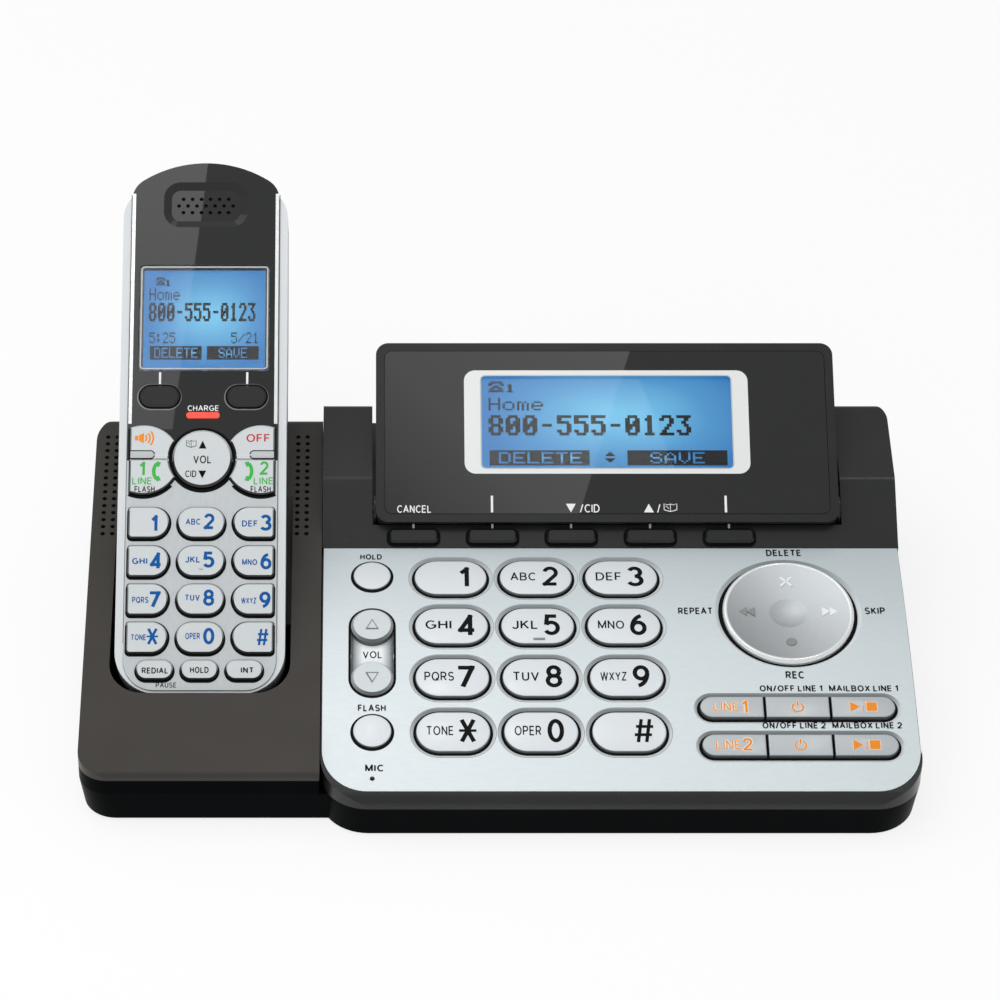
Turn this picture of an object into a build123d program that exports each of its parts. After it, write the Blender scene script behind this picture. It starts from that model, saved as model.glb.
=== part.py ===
"""Base of a two-line cordless telephone with a digital answering system, its tilting display and its handset.

The part stands on its feet at z = 0, with +X to the right, +Y to the back and +Z up. Side-view sizes are given
as (y, z) from the console's front edge and the housing's underside, and `spot` turns them into the part's frame.
"""

import os
from math import asin, atan2, cos, degrees, hypot, radians, sin, sqrt, tan

from build123d import *

os.makedirs("parts", exist_ok=True)

# ------------------------------------------------------------ driving sizes, in millimetres and degrees
# housing
base_width = 228.0
base_back = 134.5  # depth of the base, front of the console to the rear wall
foot_proud = 1.0  # feet below the housing's underside
wall = 2.2
floor_wall = 2.2
parting_x = -48.5  # joint between the cradle cover and the console cover
parting_gap = 0.2
seat = 0.15  # gap left where one fixed piece sits in or on another
under_inset = 1.0  # how far the bottom cover draws in towards the floor
console_seam = 10.0
cradle_seam = 14.9
console_corner = 13.0
cradle_corner = 8.0
rear_corner = 4.0  # where the two covers meet
console_rear = 8.0
cradle_rear = 10.0
rear_round = 2.6

# console deck, an arc in the side view
deck_front = (2.4, 14.1)
deck_back = (85.3, 29.2)
deck_radius = 399.0
band_top = 10.8
plate_wall = 1.6
plate_corner = 12.2
plate_reveal = 0.4
plate_land = 0.15  # of the cover, in front of the faceplate
deck_rim = 3.2  # of the cover, under the faceplate
deck_back_rim = 2.4

# ledge with the soft keys, and the ears that carry the display
ledge_slope = 30.0
ledge_wall = 1.8
crease_up = 21.05  # along the ledge, deck to ear tops
crease_round = 4.0
ear_slope = 7.0
ear_depth = 29.0
ear_wall = 2.2

# display
display_left = -33.4
display_right = 97.3
display_low = 6.4  # lower edge, along the ledge
display_height = 54.5
display_proud = 3.75  # front face above the ledge
display_lip = 1.6
display_bezel = 2.4
display_thin = 7.2  # thickness at the top edge
display_corner = 3.6
pivot_up = 5.7  # pivot above the display's lower edge
barrel_radius = 5.0
pivot_behind = 5.5  # pivot behind the display's front face
pivot_pin = 1.1
running_gap = 0.05
bay_gap = 0.5
fold_back = 20.0
screen_left, screen_right = -3.35, 67.8
screen_low, screen_high = 16.3, 44.3  # above the display's lower edge
lens_wall = 1.5
screen_wall = 4.0

# keys of the console
key_gap = 0.3
key_proud = 0.4
key_travel = 0.8
key_flange = 0.9
key_lip = 0.8
key_seat = 0.25
dial_size = (20.3, 12.9)
dial_columns = (-12.55, 11.3, 35.2)
dial_rows = (72.6, 54.75, 36.75, 18.8)
ring_width = 1.25  # sloping rim round each key's hole
ring_depth = 0.9
round_key = 5.3
side_x = -34.5
hold_along = 73.35
flash_along = 19.1
volume_along = 45.8
volume_size = (11.7, 30.0)
volume_proud = 0.5
volume_saddle = 2.0  # its middle, below the deck
volume_base = 3.4
mic_along = 4.2
mic_hole = 0.7
nav_x, nav_along = 81.1, 59.9
nav_radius = 18.25
nav_hole = 18.85
nav_rim = 1.55
nav_rim_depth = 1.2
nav_proud = 0.7
nav_dish = 1.0
nav_dimple = 5.2
nav_dimple_depth = 1.2
nav_pivot_radius = 3.0
nav_pivot_depth = 4.2
line_middle = 81.3
line_pitch = 17.9
line_gap = 0.5
line_height = 7.0
line_rows = (26.65, 14.35)
line_hole = (54.0, 7.6)
line_proud = 0.75
soft_columns = (-22.8, -0.5, 21.75, 44.1, 66.4)
soft_along = 3.3
soft_size = (13.9, 4.2)
soft_corner = 1.4
soft_travel = 0.6
soft_proud = 1.5

# electronics of the base
board_wall = 1.6
mat_wall = 0.8
pad_height = 0.8
mat_depth = 6.2  # key mat below the deck's chord
speaker_radius = 13.4
speaker_depth = 10.0
jack_size = (46.0, 14.0, 12.0)
jack_x = 34.0
jack_low = 11.6
line_socket = (9.9, 7.0, 11.0)
power_socket = 3.1

# cradle
cradle_front = (5.9, 17.1)
cradle_slope = 9.3
pocket_half = 24.9
pocket_corner = 9.5
pocket_wall = 1.8
pocket_gap = 0.4
grille_rows = 15
grille_pitch = 2.576
grille_start = 89.65
grille_hole = 0.72
slot_length = 13.0
speaker_y = 116.5
contact_width = 3.0
contact_height = 3.0
contact_depth = 11.0  # contacts behind the handset's face

# handset, measured up its face from the lower edge
handset_x = -81.9
handset_foot = (34.81, 20.16)
handset_lean = 32.0
handset_length = 157.0
handset_half = 21.0
rail_half = 23.4
rail_top = 153.9
trim_sink = 0.6  # trim below the handset's face
handset_split = 9.0
handset_toe = 18.6  # thickness at the lower end
handset_belly = 25.0
handset_crown = 15.5
belly_span = (47.4, 109.4)
back_corner = 6.0
back_ledge = 2.0  # inner ledge of the back cover, which the front cover stands on
face_corner = 7.0
rail_corner = 9.2
face_foot, rail_foot = 8.5, 12.0  # corners of the lower end
toe_rim = 0.9  # the trim's width across the lower end
dome = 4.2  # rise of the domed top over its shoulders
shell = 1.8
skin = 1.0
keypad_rim = 0.55
keypad_top = 67.4
pad_rows = (48.8, 37.65, 26.6, 15.65)
pad_size = (13.2, 9.0)
side_inner, side_reach = 8.9, 20.2  # outer keys, from the middle line out towards the trim
function_along = 6.5
function_pitch = 12.3
function_size = (10.2, 5.6)
hs_key_proud = 1.0
hs_mat = 0.8
mat_back_depth = 3.2
mat_low, mat_turn, mat_high = 4.4, 9.6, 52.8
mat_narrow = 16.6
hs_nav_along = 67.5
hs_nav_radius = 8.4
hs_nav_proud = 1.2
nav_ring = 0.9  # dark ring between the middle key and the rockers
rocker_x, rocker_along = 16.4, 67.2
rocker_radius = 10.2
rocker_back = 1.6
rocker_room = 3.4
hs_pin = 0.8
hs_pin_depth = 2.2
hs_soft_along = 86.1
hs_soft_x = 12.2
hs_soft_size = (11.0, 6.3)
window_along = 109.8
window_size = (37.0, 32.0)
hs_screen = (34.4, 29.6)
ear_along = 144.2
ear_size = (23.9, 13.8)
ear_bevel = 2.2
ear_dish = 1.0
ear_pitch = 2.57
lamp_along = 80.6
lamp_size = (9.4, 1.8)
board_face = -5.2
board_span = (7.4, 150.9)
board_posts = (80.4, 131.4)
contact_x = 7.0
door_along = 77.9
door_length = 47.0
door_half = 17.0
door_lip = 0.9
door_rest = 0.8
cell_radius = 5.25
cell_length = 44.0
cell_middle = -17.95

# ------------------------------------------------------------ places worked out from them
left = -base_width / 2
right = base_width / 2
rail_reach = handset_length * cos(radians(handset_lean)) + handset_crown * sin(radians(handset_lean))
front_y = -(handset_foot[0] + rail_reach - 2.0) / 2


def spot(y, z):
    """A side-view point in the part's own Y and Z."""
    return (front_y + y, foot_proud + z)


def up_slope(start, slope, along, proud=0.0):
    """The side-view point a distance up a slope from its start, and proud of it."""
    a = radians(slope)
    return (start[0] + along * cos(a) - proud * sin(a), start[1] + along * sin(a) + proud * cos(a))


def facing(x, point, slope, lift=0.0):
    """Plane lying on a slope: its x along +X, its y up the slope, its z outwards."""
    y, z = spot(*up_slope(point, slope, 0, lift))
    a = radians(slope)
    return Plane(origin=(x, y, z), x_dir=(1, 0, 0), z_dir=(0, -sin(a), cos(a)))


def edge_on(x, point, slope):
    """Plane across X on a slope: its x up the slope, its y outwards."""
    y, z = spot(*point)
    a = radians(slope)
    return Plane(origin=(x, y, z), x_dir=(0, cos(a), sin(a)), z_dir=(1, 0, 0))


chord_slope = degrees(atan2(deck_back[1] - deck_front[1], deck_back[0] - deck_front[0]))
chord = hypot(deck_back[0] - deck_front[0], deck_back[1] - deck_front[1])
front_slope = chord_slope + degrees(asin(chord / 2 / deck_radius))
deck_length = radians(2 * (front_slope - chord_slope)) * deck_radius


def deck_at(along, sink=0.0):
    """The side-view point on the deck's arc, or below it, and the arc's slope there."""
    slope = front_slope - degrees(along / deck_radius)
    radius = deck_radius - sink
    centre = up_slope(deck_front, front_slope, 0, -deck_radius)
    a = radians(slope)
    return (centre[0] - radius * sin(a), centre[1] + radius * cos(a)), slope


def deck_plane(x, along, lift=0.0):
    """Plane on the deck's surface at a key's centre."""
    point, slope = deck_at(along)
    return facing(x, point, slope, lift)


def deck_arc(start, end, sink=0.0):
    """Three side-view points on the deck's arc, for an arc through them."""
    return [spot(*deck_at(along, sink)[0]) for along in (start, (start + end) / 2, end)]


def ledge(along, proud=0.0):
    return up_slope(deck_back, ledge_slope, along, proud)


def cradle_top(y):
    """Height of the cradle's top surface over a side-view y."""
    return cradle_front[1] + (y - cradle_front[0]) * tan(radians(cradle_slope))


def plate_outline(x0, x1, y0, y1, radii):
    """A face in plan with its corners rounded: front left, front right, rear right, rear left."""
    with BuildLine() as edge:
        FilletPolyline((x0, y0), (x1, y0), (x1, y1), (x0, y1), radius=radii, close=True)
    make_face(edge.edges())


def mat_reach(point, slope):
    """Distance from a key's surface point, straight in, down to the key mat's pads."""
    turn = radians(slope - chord_slope)
    over = up_slope(deck_front, chord_slope, 0, pad_height - mat_depth)
    a = radians(chord_slope)
    gap = -(point[0] - over[0]) * sin(a) + (point[1] - over[1]) * cos(a)
    return gap / cos(turn)


crease = ledge(crease_up)
ear_rear = up_slope(crease, ear_slope, ear_depth)
pivot = ledge(display_low + pivot_up, display_proud - pivot_behind)
bay_left = display_left - 1.0
bay_right = display_right + 1.0
bay_radius = barrel_radius + bay_gap
bay_slope = ledge_slope - fold_back
bay_start = pivot_behind - display_proud  # ledge surface above the pivot
bay_edge = display_low + pivot_up - sqrt(bay_radius**2 - bay_start**2)
console_front = front_y
cradle_y = front_y + cradle_front[0]
back_y = front_y + base_back


def handset_plane(along, x=0.0, lift=0.0):
    """Plane on the handset's face, at a distance up it and across it."""
    return facing(handset_x + x, up_slope(handset_foot, handset_lean, along, lift), handset_lean)


display_middle = (display_left + display_right) / 2
display_width = display_right - display_left


def display_plane(above, lift=0.0):
    """Plane on the display's front, at a height above its lower edge."""
    return facing(display_middle, ledge(display_low + above, display_proud + lift), ledge_slope)


# ------------------------------------------------------------ bottom cover
standing = (Align.CENTER, Align.CENTER, Align.MIN)
feet_at = [(left + 19, cradle_y + 12), (right - 16, console_front + 15)]
feet_at += [(left + 19, back_y - 12), (right - 19, back_y - 12)]
foot_radius = 5.5
foot_recess = 0.8
screw_radius = 1.5
screw_head = 3.0
post_radius = 3.2
console_posts = [(parting_x + 7.2, 12.5), (right - 7.4, 42.0), (parting_x + 7.2, 122.0), (right - 7.4, 122.0)]
cradle_posts = [(left + 7.6, 24.0), (left + 7.6, 122.0), (parting_x - 6.0, 24.0)]
post_foot = floor_wall + 0.3
board_posts_at = [(-28.0, 16.0), (97.0, 20.0), (-28.0, 78.0), (97.0, 78.0)]

with BuildPart() as bottom_cover:
    for x0, x1, y0, corner, rear in (
        (parting_x, right, console_front, console_corner, [console_rear, rear_corner]),
        (left, parting_x + console_corner, cradle_y, cradle_corner, [rear_corner, cradle_rear]),
    ):
        left_edge = x0 + (under_inset if x0 == left else 0)
        right_edge = x1 - (under_inset if x1 == right else 0)
        left_radius = corner + (under_inset if x0 == left else 0)
        with BuildSketch(Plane.XY.offset(foot_proud)):
            plate_outline(left_edge, right_edge, y0 + under_inset, back_y - 1,
                          [left_radius, corner] + rear)
        with BuildSketch(Plane.XY.offset(foot_proud + console_seam)):
            plate_outline(x0, x1, y0, back_y, [corner, corner] + rear)
        loft(ruled=True)
    with BuildSketch(Plane.XY.offset(foot_proud + console_seam)):
        plate_outline(left, parting_x - parting_gap, cradle_y, back_y, [cradle_corner, 0.5, 0.5, cradle_rear])
    extrude(amount=cradle_seam - console_seam)
    # hollow of the console's side and of the cradle's side, with a gap in the wall between them for the leads
    for x0, x1, y0, corner, rear in (
        (parting_x + wall, right - wall, console_front + wall, console_corner, [console_rear - wall, 3]),
        (left + wall, parting_x - wall, cradle_y + wall, cradle_corner, [3, cradle_rear - wall]),
    ):
        draw = under_inset * (1 - floor_wall / console_seam)
        left_edge = x0 + (draw if x0 < parting_x else 0)
        right_edge = x1 - (draw if x1 > parting_x else 0)
        with BuildSketch(Plane.XY.offset(foot_proud + floor_wall)):
            plate_outline(left_edge, right_edge, y0 + draw, back_y - wall - 1, [corner, corner] + rear)
        with BuildSketch(Plane.XY.offset(foot_proud + console_seam)):
            plate_outline(x0, x1, y0, back_y - wall, [corner - wall, corner - wall] + rear)
        loft(ruled=True, mode=Mode.SUBTRACT)
    with BuildSketch(Plane.XY.offset(foot_proud + console_seam)):
        plate_outline(left + wall, parting_x - wall, cradle_y + wall, back_y - wall,
                      [cradle_corner - wall, cradle_corner - wall, 3, cradle_rear - wall])
    extrude(amount=cradle_seam, mode=Mode.SUBTRACT)
    with BuildSketch(Plane.XY.offset(foot_proud + floor_wall)):
        with Locations((parting_x, front_y + base_back / 2)):
            Rectangle(4 * wall, base_back / 2)
    extrude(amount=cradle_seam, mode=Mode.SUBTRACT)
    with Locations(*[(x, y, foot_proud) for x, y in feet_at]):
        Cylinder(foot_radius + seat, foot_recess, align=standing, mode=Mode.SUBTRACT)
    with Locations(*[(x, front_y + y, foot_proud) for x, y in console_posts + cradle_posts]):
        Cylinder(post_radius + 1.0, 4.0, align=standing)
        Cylinder(screw_head + seat, 2.2, align=standing, mode=Mode.SUBTRACT)
        Cylinder(screw_radius + 0.2, 4.0, align=standing, mode=Mode.SUBTRACT)
    for x, along in board_posts_at:
        under = up_slope(deck_front, chord_slope, along, -mat_depth - mat_wall - board_wall - 0.2)
        height = under[1] - post_radius * tan(radians(chord_slope)) - floor_wall / 2
        with Locations((x, front_y + under[0], foot_proud + floor_wall / 2)):
            Cylinder(post_radius, height, align=standing)
    for x in (jack_x - 16, jack_x + 16):
        with Locations((x, back_y - wall - 1 - jack_size[1] / 2, foot_proud + floor_wall / 2)):
            Box(wall, jack_size[1], jack_low - seat - floor_wall / 2, align=standing)
bottom_cover.part.label = "bottom_cover"
export_step(bottom_cover.part, "parts/bottom_cover.step")

# ------------------------------------------------------------ console cover, with ledge, ears and display bay
ear_back_z = ear_rear[1] - 3.0
bay_floor_back = up_slope(pivot, bay_slope, (base_back - pivot[0]) / cos(radians(bay_slope)) + 1, -bay_radius)

with BuildPart() as plate_rebate:
    with BuildSketch(Plane.YZ.offset(parting_x)):
        with BuildLine():
            over = ThreePointArc(*deck_arc(-1, deck_length, -5))
            sunk = ThreePointArc(*deck_arc(-1, deck_length, plate_wall + seat))
            Line(over @ 0, sunk @ 0)
            Line(over @ 1, sunk @ 1)
        make_face()
    extrude(amount=right - parting_x)
    with BuildSketch(Plane.XY.offset(foot_proud)):
        plate_outline(parting_x, right, front_y + deck_front[0] + plate_land, back_y,
                      [plate_corner + plate_reveal, plate_corner + plate_reveal, 1, 1])
    extrude(amount=base_back, mode=Mode.INTERSECT)

# hollow under the deck, the ledge and the bay floor, and inside each ear
with BuildPart() as console_hollow:
    with BuildSketch(Plane.YZ.offset(parting_x)):
        with BuildLine():
            under = ThreePointArc(*deck_arc(1.5, deck_length, plate_wall + wall))
            trough = bay_radius + ledge_wall
            meet = display_low + pivot_up - sqrt(trough**2 - (bay_start - ledge_wall) ** 2)
            to_bay = Line(under @ 1, spot(*ledge(meet, -ledge_wall)))
            low = spot(*up_slope(pivot, bay_slope, 0, -trough))
            dip = spot(*up_slope(pivot, (ledge_slope + bay_slope) / 2 - 35, 0, -trough))
            ThreePointArc(to_bay @ 1, dip, low)
            end = up_slope(pivot, bay_slope, (base_back - pivot[0]) / cos(radians(bay_slope)), -trough)
            Polyline(low, spot(base_back, end[1]), spot(base_back, console_seam - 1),
                     spot(1, console_seam - 1), spot(1, console_seam), under @ 0)
        make_face()
    extrude(amount=right - parting_x)
    for x0, x1 in ((parting_x, bay_left - ear_wall), (bay_right + ear_wall, right)):
        with BuildSketch(Plane.YZ.offset(x0)):
            with BuildLine():
                Polyline(
                    spot(*ledge(6.0, -wall)), spot(*up_slope(crease, ear_slope, 1.0, -wall)),
                    spot(*up_slope(crease, ear_slope, ear_depth - 1.0, -wall)),
                    spot(base_back - wall + 1, ear_back_z - wall - 1), spot(base_back - wall + 1, console_seam),
                    spot(deck_back[0], console_seam), close=True,
                )
            make_face()
        extrude(amount=x1 - x0)
    with BuildSketch(Plane.XY.offset(foot_proud)):
        plate_outline(parting_x + wall, right - wall, console_front + wall, back_y - wall,
                      [console_corner - wall, console_corner - wall, console_rear - wall, 0.5])
    extrude(amount=base_back, mode=Mode.INTERSECT)

with BuildPart() as console_cover:
    with BuildSketch(Plane.YZ.offset(parting_x)):
        with BuildLine():
            front = Line(spot(0, console_seam), spot(0, band_top))
            TangentArc(front @ 1, spot(*deck_front), tangent=(0, 1))
            deck = ThreePointArc(*deck_arc(0, deck_length))
            back = FilletPolyline(
                deck @ 1, spot(*crease), spot(*ear_rear), spot(base_back, ear_back_z),
                spot(base_back, console_seam),
                radius=[crease_round, rear_round, rear_round],
            )
            Line(back @ 1, front @ 0)
        make_face()
    extrude(amount=right - parting_x)
    with BuildSketch(Plane.XY.offset(foot_proud)):
        plate_outline(parting_x, right, console_front, back_y,
                      [console_corner, console_corner, console_rear, 0.5])
    extrude(amount=base_back, mode=Mode.INTERSECT)
    # bay between the ears: a trough round the pivot, then a floor for the folded display
    with BuildSketch(Plane.YZ.offset(bay_left)):
        with BuildLine():
            start = spot(*ledge(bay_edge))
            low = spot(*up_slope(pivot, bay_slope, 0, -bay_radius))
            dip = spot(*up_slope(pivot, (ledge_slope + bay_slope) / 2 - 35, 0, -bay_radius))
            ThreePointArc(start, dip, low)
            Polyline(low, spot(*bay_floor_back), spot(base_back + 10, 80), spot(*ledge(bay_edge, 30)), start)
        make_face()
    extrude(amount=bay_right - bay_left, mode=Mode.SUBTRACT)
    add(console_hollow.part, mode=Mode.SUBTRACT)
    # window under the faceplate, then the rebate that the faceplate lies in
    rim_front, rim_back = deck_at(deck_rim)[0][0], deck_at(deck_length - deck_back_rim)[0][0]
    with BuildSketch(Plane.XY.offset(foot_proud + console_seam)):
        plate_outline(parting_x + deck_rim, right - deck_rim, front_y + rim_front, front_y + rim_back,
                      [plate_corner - deck_rim] * 2 + [2, 2])
    extrude(amount=ear_rear[1] - console_seam, mode=Mode.SUBTRACT)
    for x, y in console_posts:
        top = deck_at(y - deck_front[0])[0][1] - plate_wall - 1 if y < deck_back[0] else ear_rear[1] - wall - 1
        with Locations((x, front_y + y, foot_proud + post_foot + 2)):
            Cylinder(post_radius, top - post_foot - 2, align=standing)
            rib_side = Align.MAX if x < 0 else Align.MIN
            rib_top = top - console_seam - 0.5
            with Locations((0, 0, console_seam - post_foot - 1.5)):
                rib_length = min(x - parting_x, right - x) - wall / 2
                Box(rib_length, 1.6, rib_top, align=(rib_side, Align.CENTER, Align.MIN))
            Cylinder(screw_radius, 9, align=standing, mode=Mode.SUBTRACT)
    add(plate_rebate.part, mode=Mode.SUBTRACT)
    # slots for the soft keys, bores for the display's pivot pins, and the windows for the sockets
    for x in soft_columns:
        with BuildSketch(facing(x, ledge(soft_along), ledge_slope, -ledge_wall - 1)):
            RectangleRounded(soft_size[0] + 2 * key_gap, soft_size[1] + 2 * key_gap, soft_corner + key_gap)
        extrude(amount=ledge_wall + 3, mode=Mode.SUBTRACT)
        with BuildSketch(facing(x, ledge(soft_along), ledge_slope, -ledge_wall)):
            Rectangle(soft_size[0] + 4 * key_gap + 2 * key_lip, soft_size[1] - 1)
        extrude(amount=-6, mode=Mode.SUBTRACT)
    for x in (bay_left - ear_wall - 1, bay_right - 1):
        with BuildSketch(edge_on(x, pivot, ledge_slope)):
            Circle(pivot_pin + running_gap)
        extrude(amount=ear_wall + 2, mode=Mode.SUBTRACT)
    with BuildSketch(Plane.XZ.offset(-(back_y + 1))):
        with Locations((jack_x, foot_proud + jack_low + jack_size[2] / 2)):
            Rectangle(jack_size[0] - 2, jack_size[2] - 2)
    extrude(amount=wall + 2, mode=Mode.SUBTRACT)
console_cover.part.label = "console_cover"
export_step(console_cover.part, "parts/console_cover.step")

# ------------------------------------------------------------ faceplate of the deck
dial_hole = (dial_size[0] + 2 * key_gap, dial_size[1] + 2 * key_gap)
rim_over, rim_past = 0.3, 0.15  # overshoot of a rim's cut above the deck and into its hole
with BuildPart() as deck_faceplate:
    with BuildSketch(Plane.YZ.offset(parting_x + plate_reveal)):
        with BuildLine():
            top = ThreePointArc(*deck_arc(-1, deck_length - 0.2))
            under = ThreePointArc(*deck_arc(-1, deck_length - 0.2, plate_wall))
            Line(top @ 0, under @ 0)
            Line(top @ 1, under @ 1)
        make_face()
    extrude(amount=right - parting_x - 2 * plate_reveal)
    with BuildSketch(Plane.XY.offset(foot_proud)):
        plate_front = front_y + deck_front[0] + plate_land + seat
        plate_outline(parting_x + plate_reveal, right - plate_reveal, plate_front, back_y,
                      [plate_corner, plate_corner, 1, 1])
    extrude(amount=base_back, mode=Mode.INTERSECT)
    # holes with a sloping rim: the dial keys, the two line key pockets and the disc
    rimmed = [(x, along, dial_hole) for along in dial_rows for x in dial_columns]
    rimmed += [(line_middle, along, line_hole) for along in line_rows]
    for x, along, size in rimmed:
        for lift in (rim_over, -ring_depth - rim_past):
            grow = 2 * ring_width * (1 + lift / ring_depth)
            with BuildSketch(deck_plane(x, along, lift)):
                SlotOverall(size[0] + grow, size[1] + grow)
        loft(ruled=True, mode=Mode.SUBTRACT)
        with BuildSketch(deck_plane(x, along, -plate_wall - 1)):
            SlotOverall(*size)
        extrude(amount=plate_wall + 2, mode=Mode.SUBTRACT)
    for lift in (rim_over, -nav_rim_depth - rim_past):
        with BuildSketch(deck_plane(nav_x, nav_along, lift)):
            Circle(nav_hole + nav_rim * (1 + lift / nav_rim_depth))
    loft(ruled=True, mode=Mode.SUBTRACT)
    for x, along, radius in (
        (side_x, hold_along, round_key + key_gap), (side_x, flash_along, round_key + key_gap),
        (side_x, mic_along, mic_hole), (nav_x, nav_along, nav_hole),
    ):
        with BuildSketch(deck_plane(x, along, -plate_wall - 1)):
            Circle(radius)
        extrude(amount=plate_wall + 3, mode=Mode.SUBTRACT)
    with BuildSketch(deck_plane(side_x, volume_along, -plate_wall - 1)):
        SlotOverall(volume_size[1] + 2 * key_gap, volume_size[0] + 2 * key_gap, rotation=90)
    extrude(amount=plate_wall + 2, mode=Mode.SUBTRACT)
deck_faceplate.part.label = "deck_faceplate"
export_step(deck_faceplate.part, "parts/deck_faceplate.step")

# ------------------------------------------------------------ keys of the console
stem_radius = 2.2
under_plate = plate_wall + key_seat


def key_reach(along, travel):
    """Depth of a key's stem below the deck, so that its full travel just stops short of the key mat."""
    return mat_reach(*deck_at(along)) - travel - key_seat


def stand_key(plane, outline, flange, reach, proud, edge):
    """A key standing in its hole: cap, the flange that holds it under the plate, and its stem."""
    axis = Axis(plane.origin, plane.z_dir)
    with BuildPart() as key:
        with BuildSketch(plane.offset(-under_plate - key_flange)):
            flange()
        extrude(amount=key_flange)
        with BuildSketch(plane.offset(-under_plate)):
            outline()
        extrude(amount=under_plate + proud)
        chamfer(key.faces().sort_by(axis)[-1].edges(), edge)
        with BuildSketch(plane.offset(-reach)):
            Circle(stem_radius)
        extrude(amount=reach - under_plate)
    return key.part


dial_names = ("1", "2", "3", "4", "5", "6", "7", "8", "9", "star", "0", "hash")
dial_places = [(x, along) for along in dial_rows for x in dial_columns]
for digit, (x, along) in zip(dial_names, dial_places):
    dial_key = stand_key(
        deck_plane(x, along),
        lambda: SlotOverall(*dial_size),
        lambda: SlotOverall(dial_size[0] + 2 * key_lip, dial_size[1] + 2 * key_lip),
        key_reach(along, key_travel), key_proud, 0.6,
    )
    dial_key.label = f"key_{digit}"
    export_step(dial_key, f"parts/key_{digit}.step")

for word, along in (("hold", hold_along), ("flash", flash_along)):
    side_key = stand_key(
        deck_plane(side_x, along), lambda: Circle(round_key), lambda: Circle(round_key + key_lip),
        key_reach(along, key_travel), key_proud, 0.6,
    )
    side_key.label = f"{word}_key"
    export_step(side_key, f"parts/{word}_key.step")

# line keys: three caps that share one pill-shaped pocket, the outer two with a round end
line_width = line_pitch - line_gap
line_names = ("line", "on_off", "mailbox")
for row, along in enumerate(line_rows, start=1):
    for place, word in enumerate(line_names):
        side = place - 1
        plane = deck_plane(line_middle + side * line_pitch, along)

        def line_cap(grow=0.0):
            Rectangle(line_width, line_height + 2 * grow)
            if side:
                with Locations((side * (line_width - line_height) / 2, 0)):
                    Rectangle(line_height + grow, line_height + 2 * grow, mode=Mode.SUBTRACT)
                    Circle(line_height / 2 + grow)
                with Locations((side * (line_width / 2 - line_height), 0)):
                    Rectangle(line_height, line_height + 2 * grow)

        line_key = stand_key(
            plane, line_cap, lambda: line_cap(key_lip), key_reach(along, key_travel), line_proud, 0.5,
        )
        line_key.label = f"{word}_key_{row}"
        export_step(line_key, f"parts/{word}_key_{row}.step")

# soft keys of the ledge, kept in by a tab at each end, their stems reaching down to the same key mat
soft_reach = mat_reach(ledge(soft_along), ledge_slope) - soft_travel - 2 * key_seat
for number, x in enumerate(soft_columns, start=1):
    plane = facing(x, ledge(soft_along), ledge_slope)
    with BuildPart() as soft_key:
        with BuildSketch(plane.offset(-ledge_wall - 0.3)):
            RectangleRounded(*soft_size, soft_corner)
        extrude(amount=ledge_wall + 0.3 + soft_proud)
        chamfer(soft_key.faces().sort_by(Axis(plane.origin, plane.z_dir))[-1].edges(), 0.6)
        with BuildSketch(plane.offset(-ledge_wall - key_seat - key_flange)):
            Rectangle(soft_size[0] + 2 * (key_gap + key_lip), soft_size[1] - 1.8)
        extrude(amount=key_flange)
        with BuildSketch(plane.offset(-soft_reach)):
            Rectangle(8, soft_size[1] - 2.2)
        extrude(amount=soft_reach - ledge_wall - key_seat)
    soft_key.part.label = f"soft_key_{number}"
    export_step(soft_key.part, f"parts/soft_key_{number}.step")

# volume rocker: a pad at each end of a low saddle, on a cross pin that bears under the faceplate
volume_plane = deck_plane(side_x, volume_along)
volume_pin = 1.2
volume_pin_depth = under_plate + volume_pin
pad_radius = volume_size[0] / 2
with BuildPart() as volume_rocker:
    with BuildSketch(volume_plane.offset(-volume_base)):
        SlotOverall(volume_size[1], volume_size[0], rotation=90)
    extrude(amount=volume_base - volume_saddle)
    with BuildSketch(volume_plane.offset(-volume_base)):
        with Locations((0, volume_size[1] / 2 - pad_radius), (0, pad_radius - volume_size[1] / 2)):
            Circle(pad_radius)
    extrude(amount=volume_base + volume_proud)
    pads = volume_rocker.faces().sort_by(Axis(volume_plane.origin, volume_plane.z_dir))[-2:]
    chamfer(pads.edges(), 0.7)
    with BuildSketch(Plane(volume_plane.origin - Vector(volume_size[0] / 2 + key_lip + 0.6, 0, 0),
                           x_dir=volume_plane.y_dir, z_dir=(1, 0, 0))):
        with Locations((0, -volume_pin_depth)):
            Circle(volume_pin)
    extrude(amount=volume_size[0] + 2 * key_lip + 1.2)
volume_rocker.part.label = "volume_rocker"
export_step(volume_rocker.part, "parts/volume_rocker.step")

# navigation disc on its centre pivot: the pivot tips front to back, the disc tips side to side on it
nav_plane = deck_plane(nav_x, nav_along)
nav_axis = Axis(nav_plane.origin, nav_plane.z_dir)
nav_under = plate_wall + 2.4  # underside of the disc
nav_top = nav_proud - nav_dish  # its dished middle
nav_socket = nav_top - nav_dimple_depth - 0.9  # ceiling of the pivot's socket
nav_floor = mat_reach(*deck_at(nav_along)) - key_seat
with BuildPart() as nav_disc:
    with BuildSketch(Plane(nav_plane.origin, x_dir=(1, 0, 0), z_dir=-nav_plane.y_dir)):
        with BuildLine():
            Polyline((nav_pivot_radius + 0.4, -nav_under), (nav_radius, -nav_under), (nav_radius, nav_proud - 0.7),
                     (nav_radius - 0.8, nav_proud), (nav_dimple, nav_top), (0, nav_top), (0, nav_socket),
                     (nav_pivot_radius + 0.4, nav_socket), (nav_pivot_radius + 0.4, -nav_under))
        make_face()
    revolve(axis=nav_axis)
    dimple_ball = (nav_dimple**2 + nav_dimple_depth**2) / (2 * nav_dimple_depth)
    with Locations(nav_plane.offset(nav_top + dimple_ball - nav_dimple_depth)):
        Sphere(dimple_ball, mode=Mode.SUBTRACT)
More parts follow.
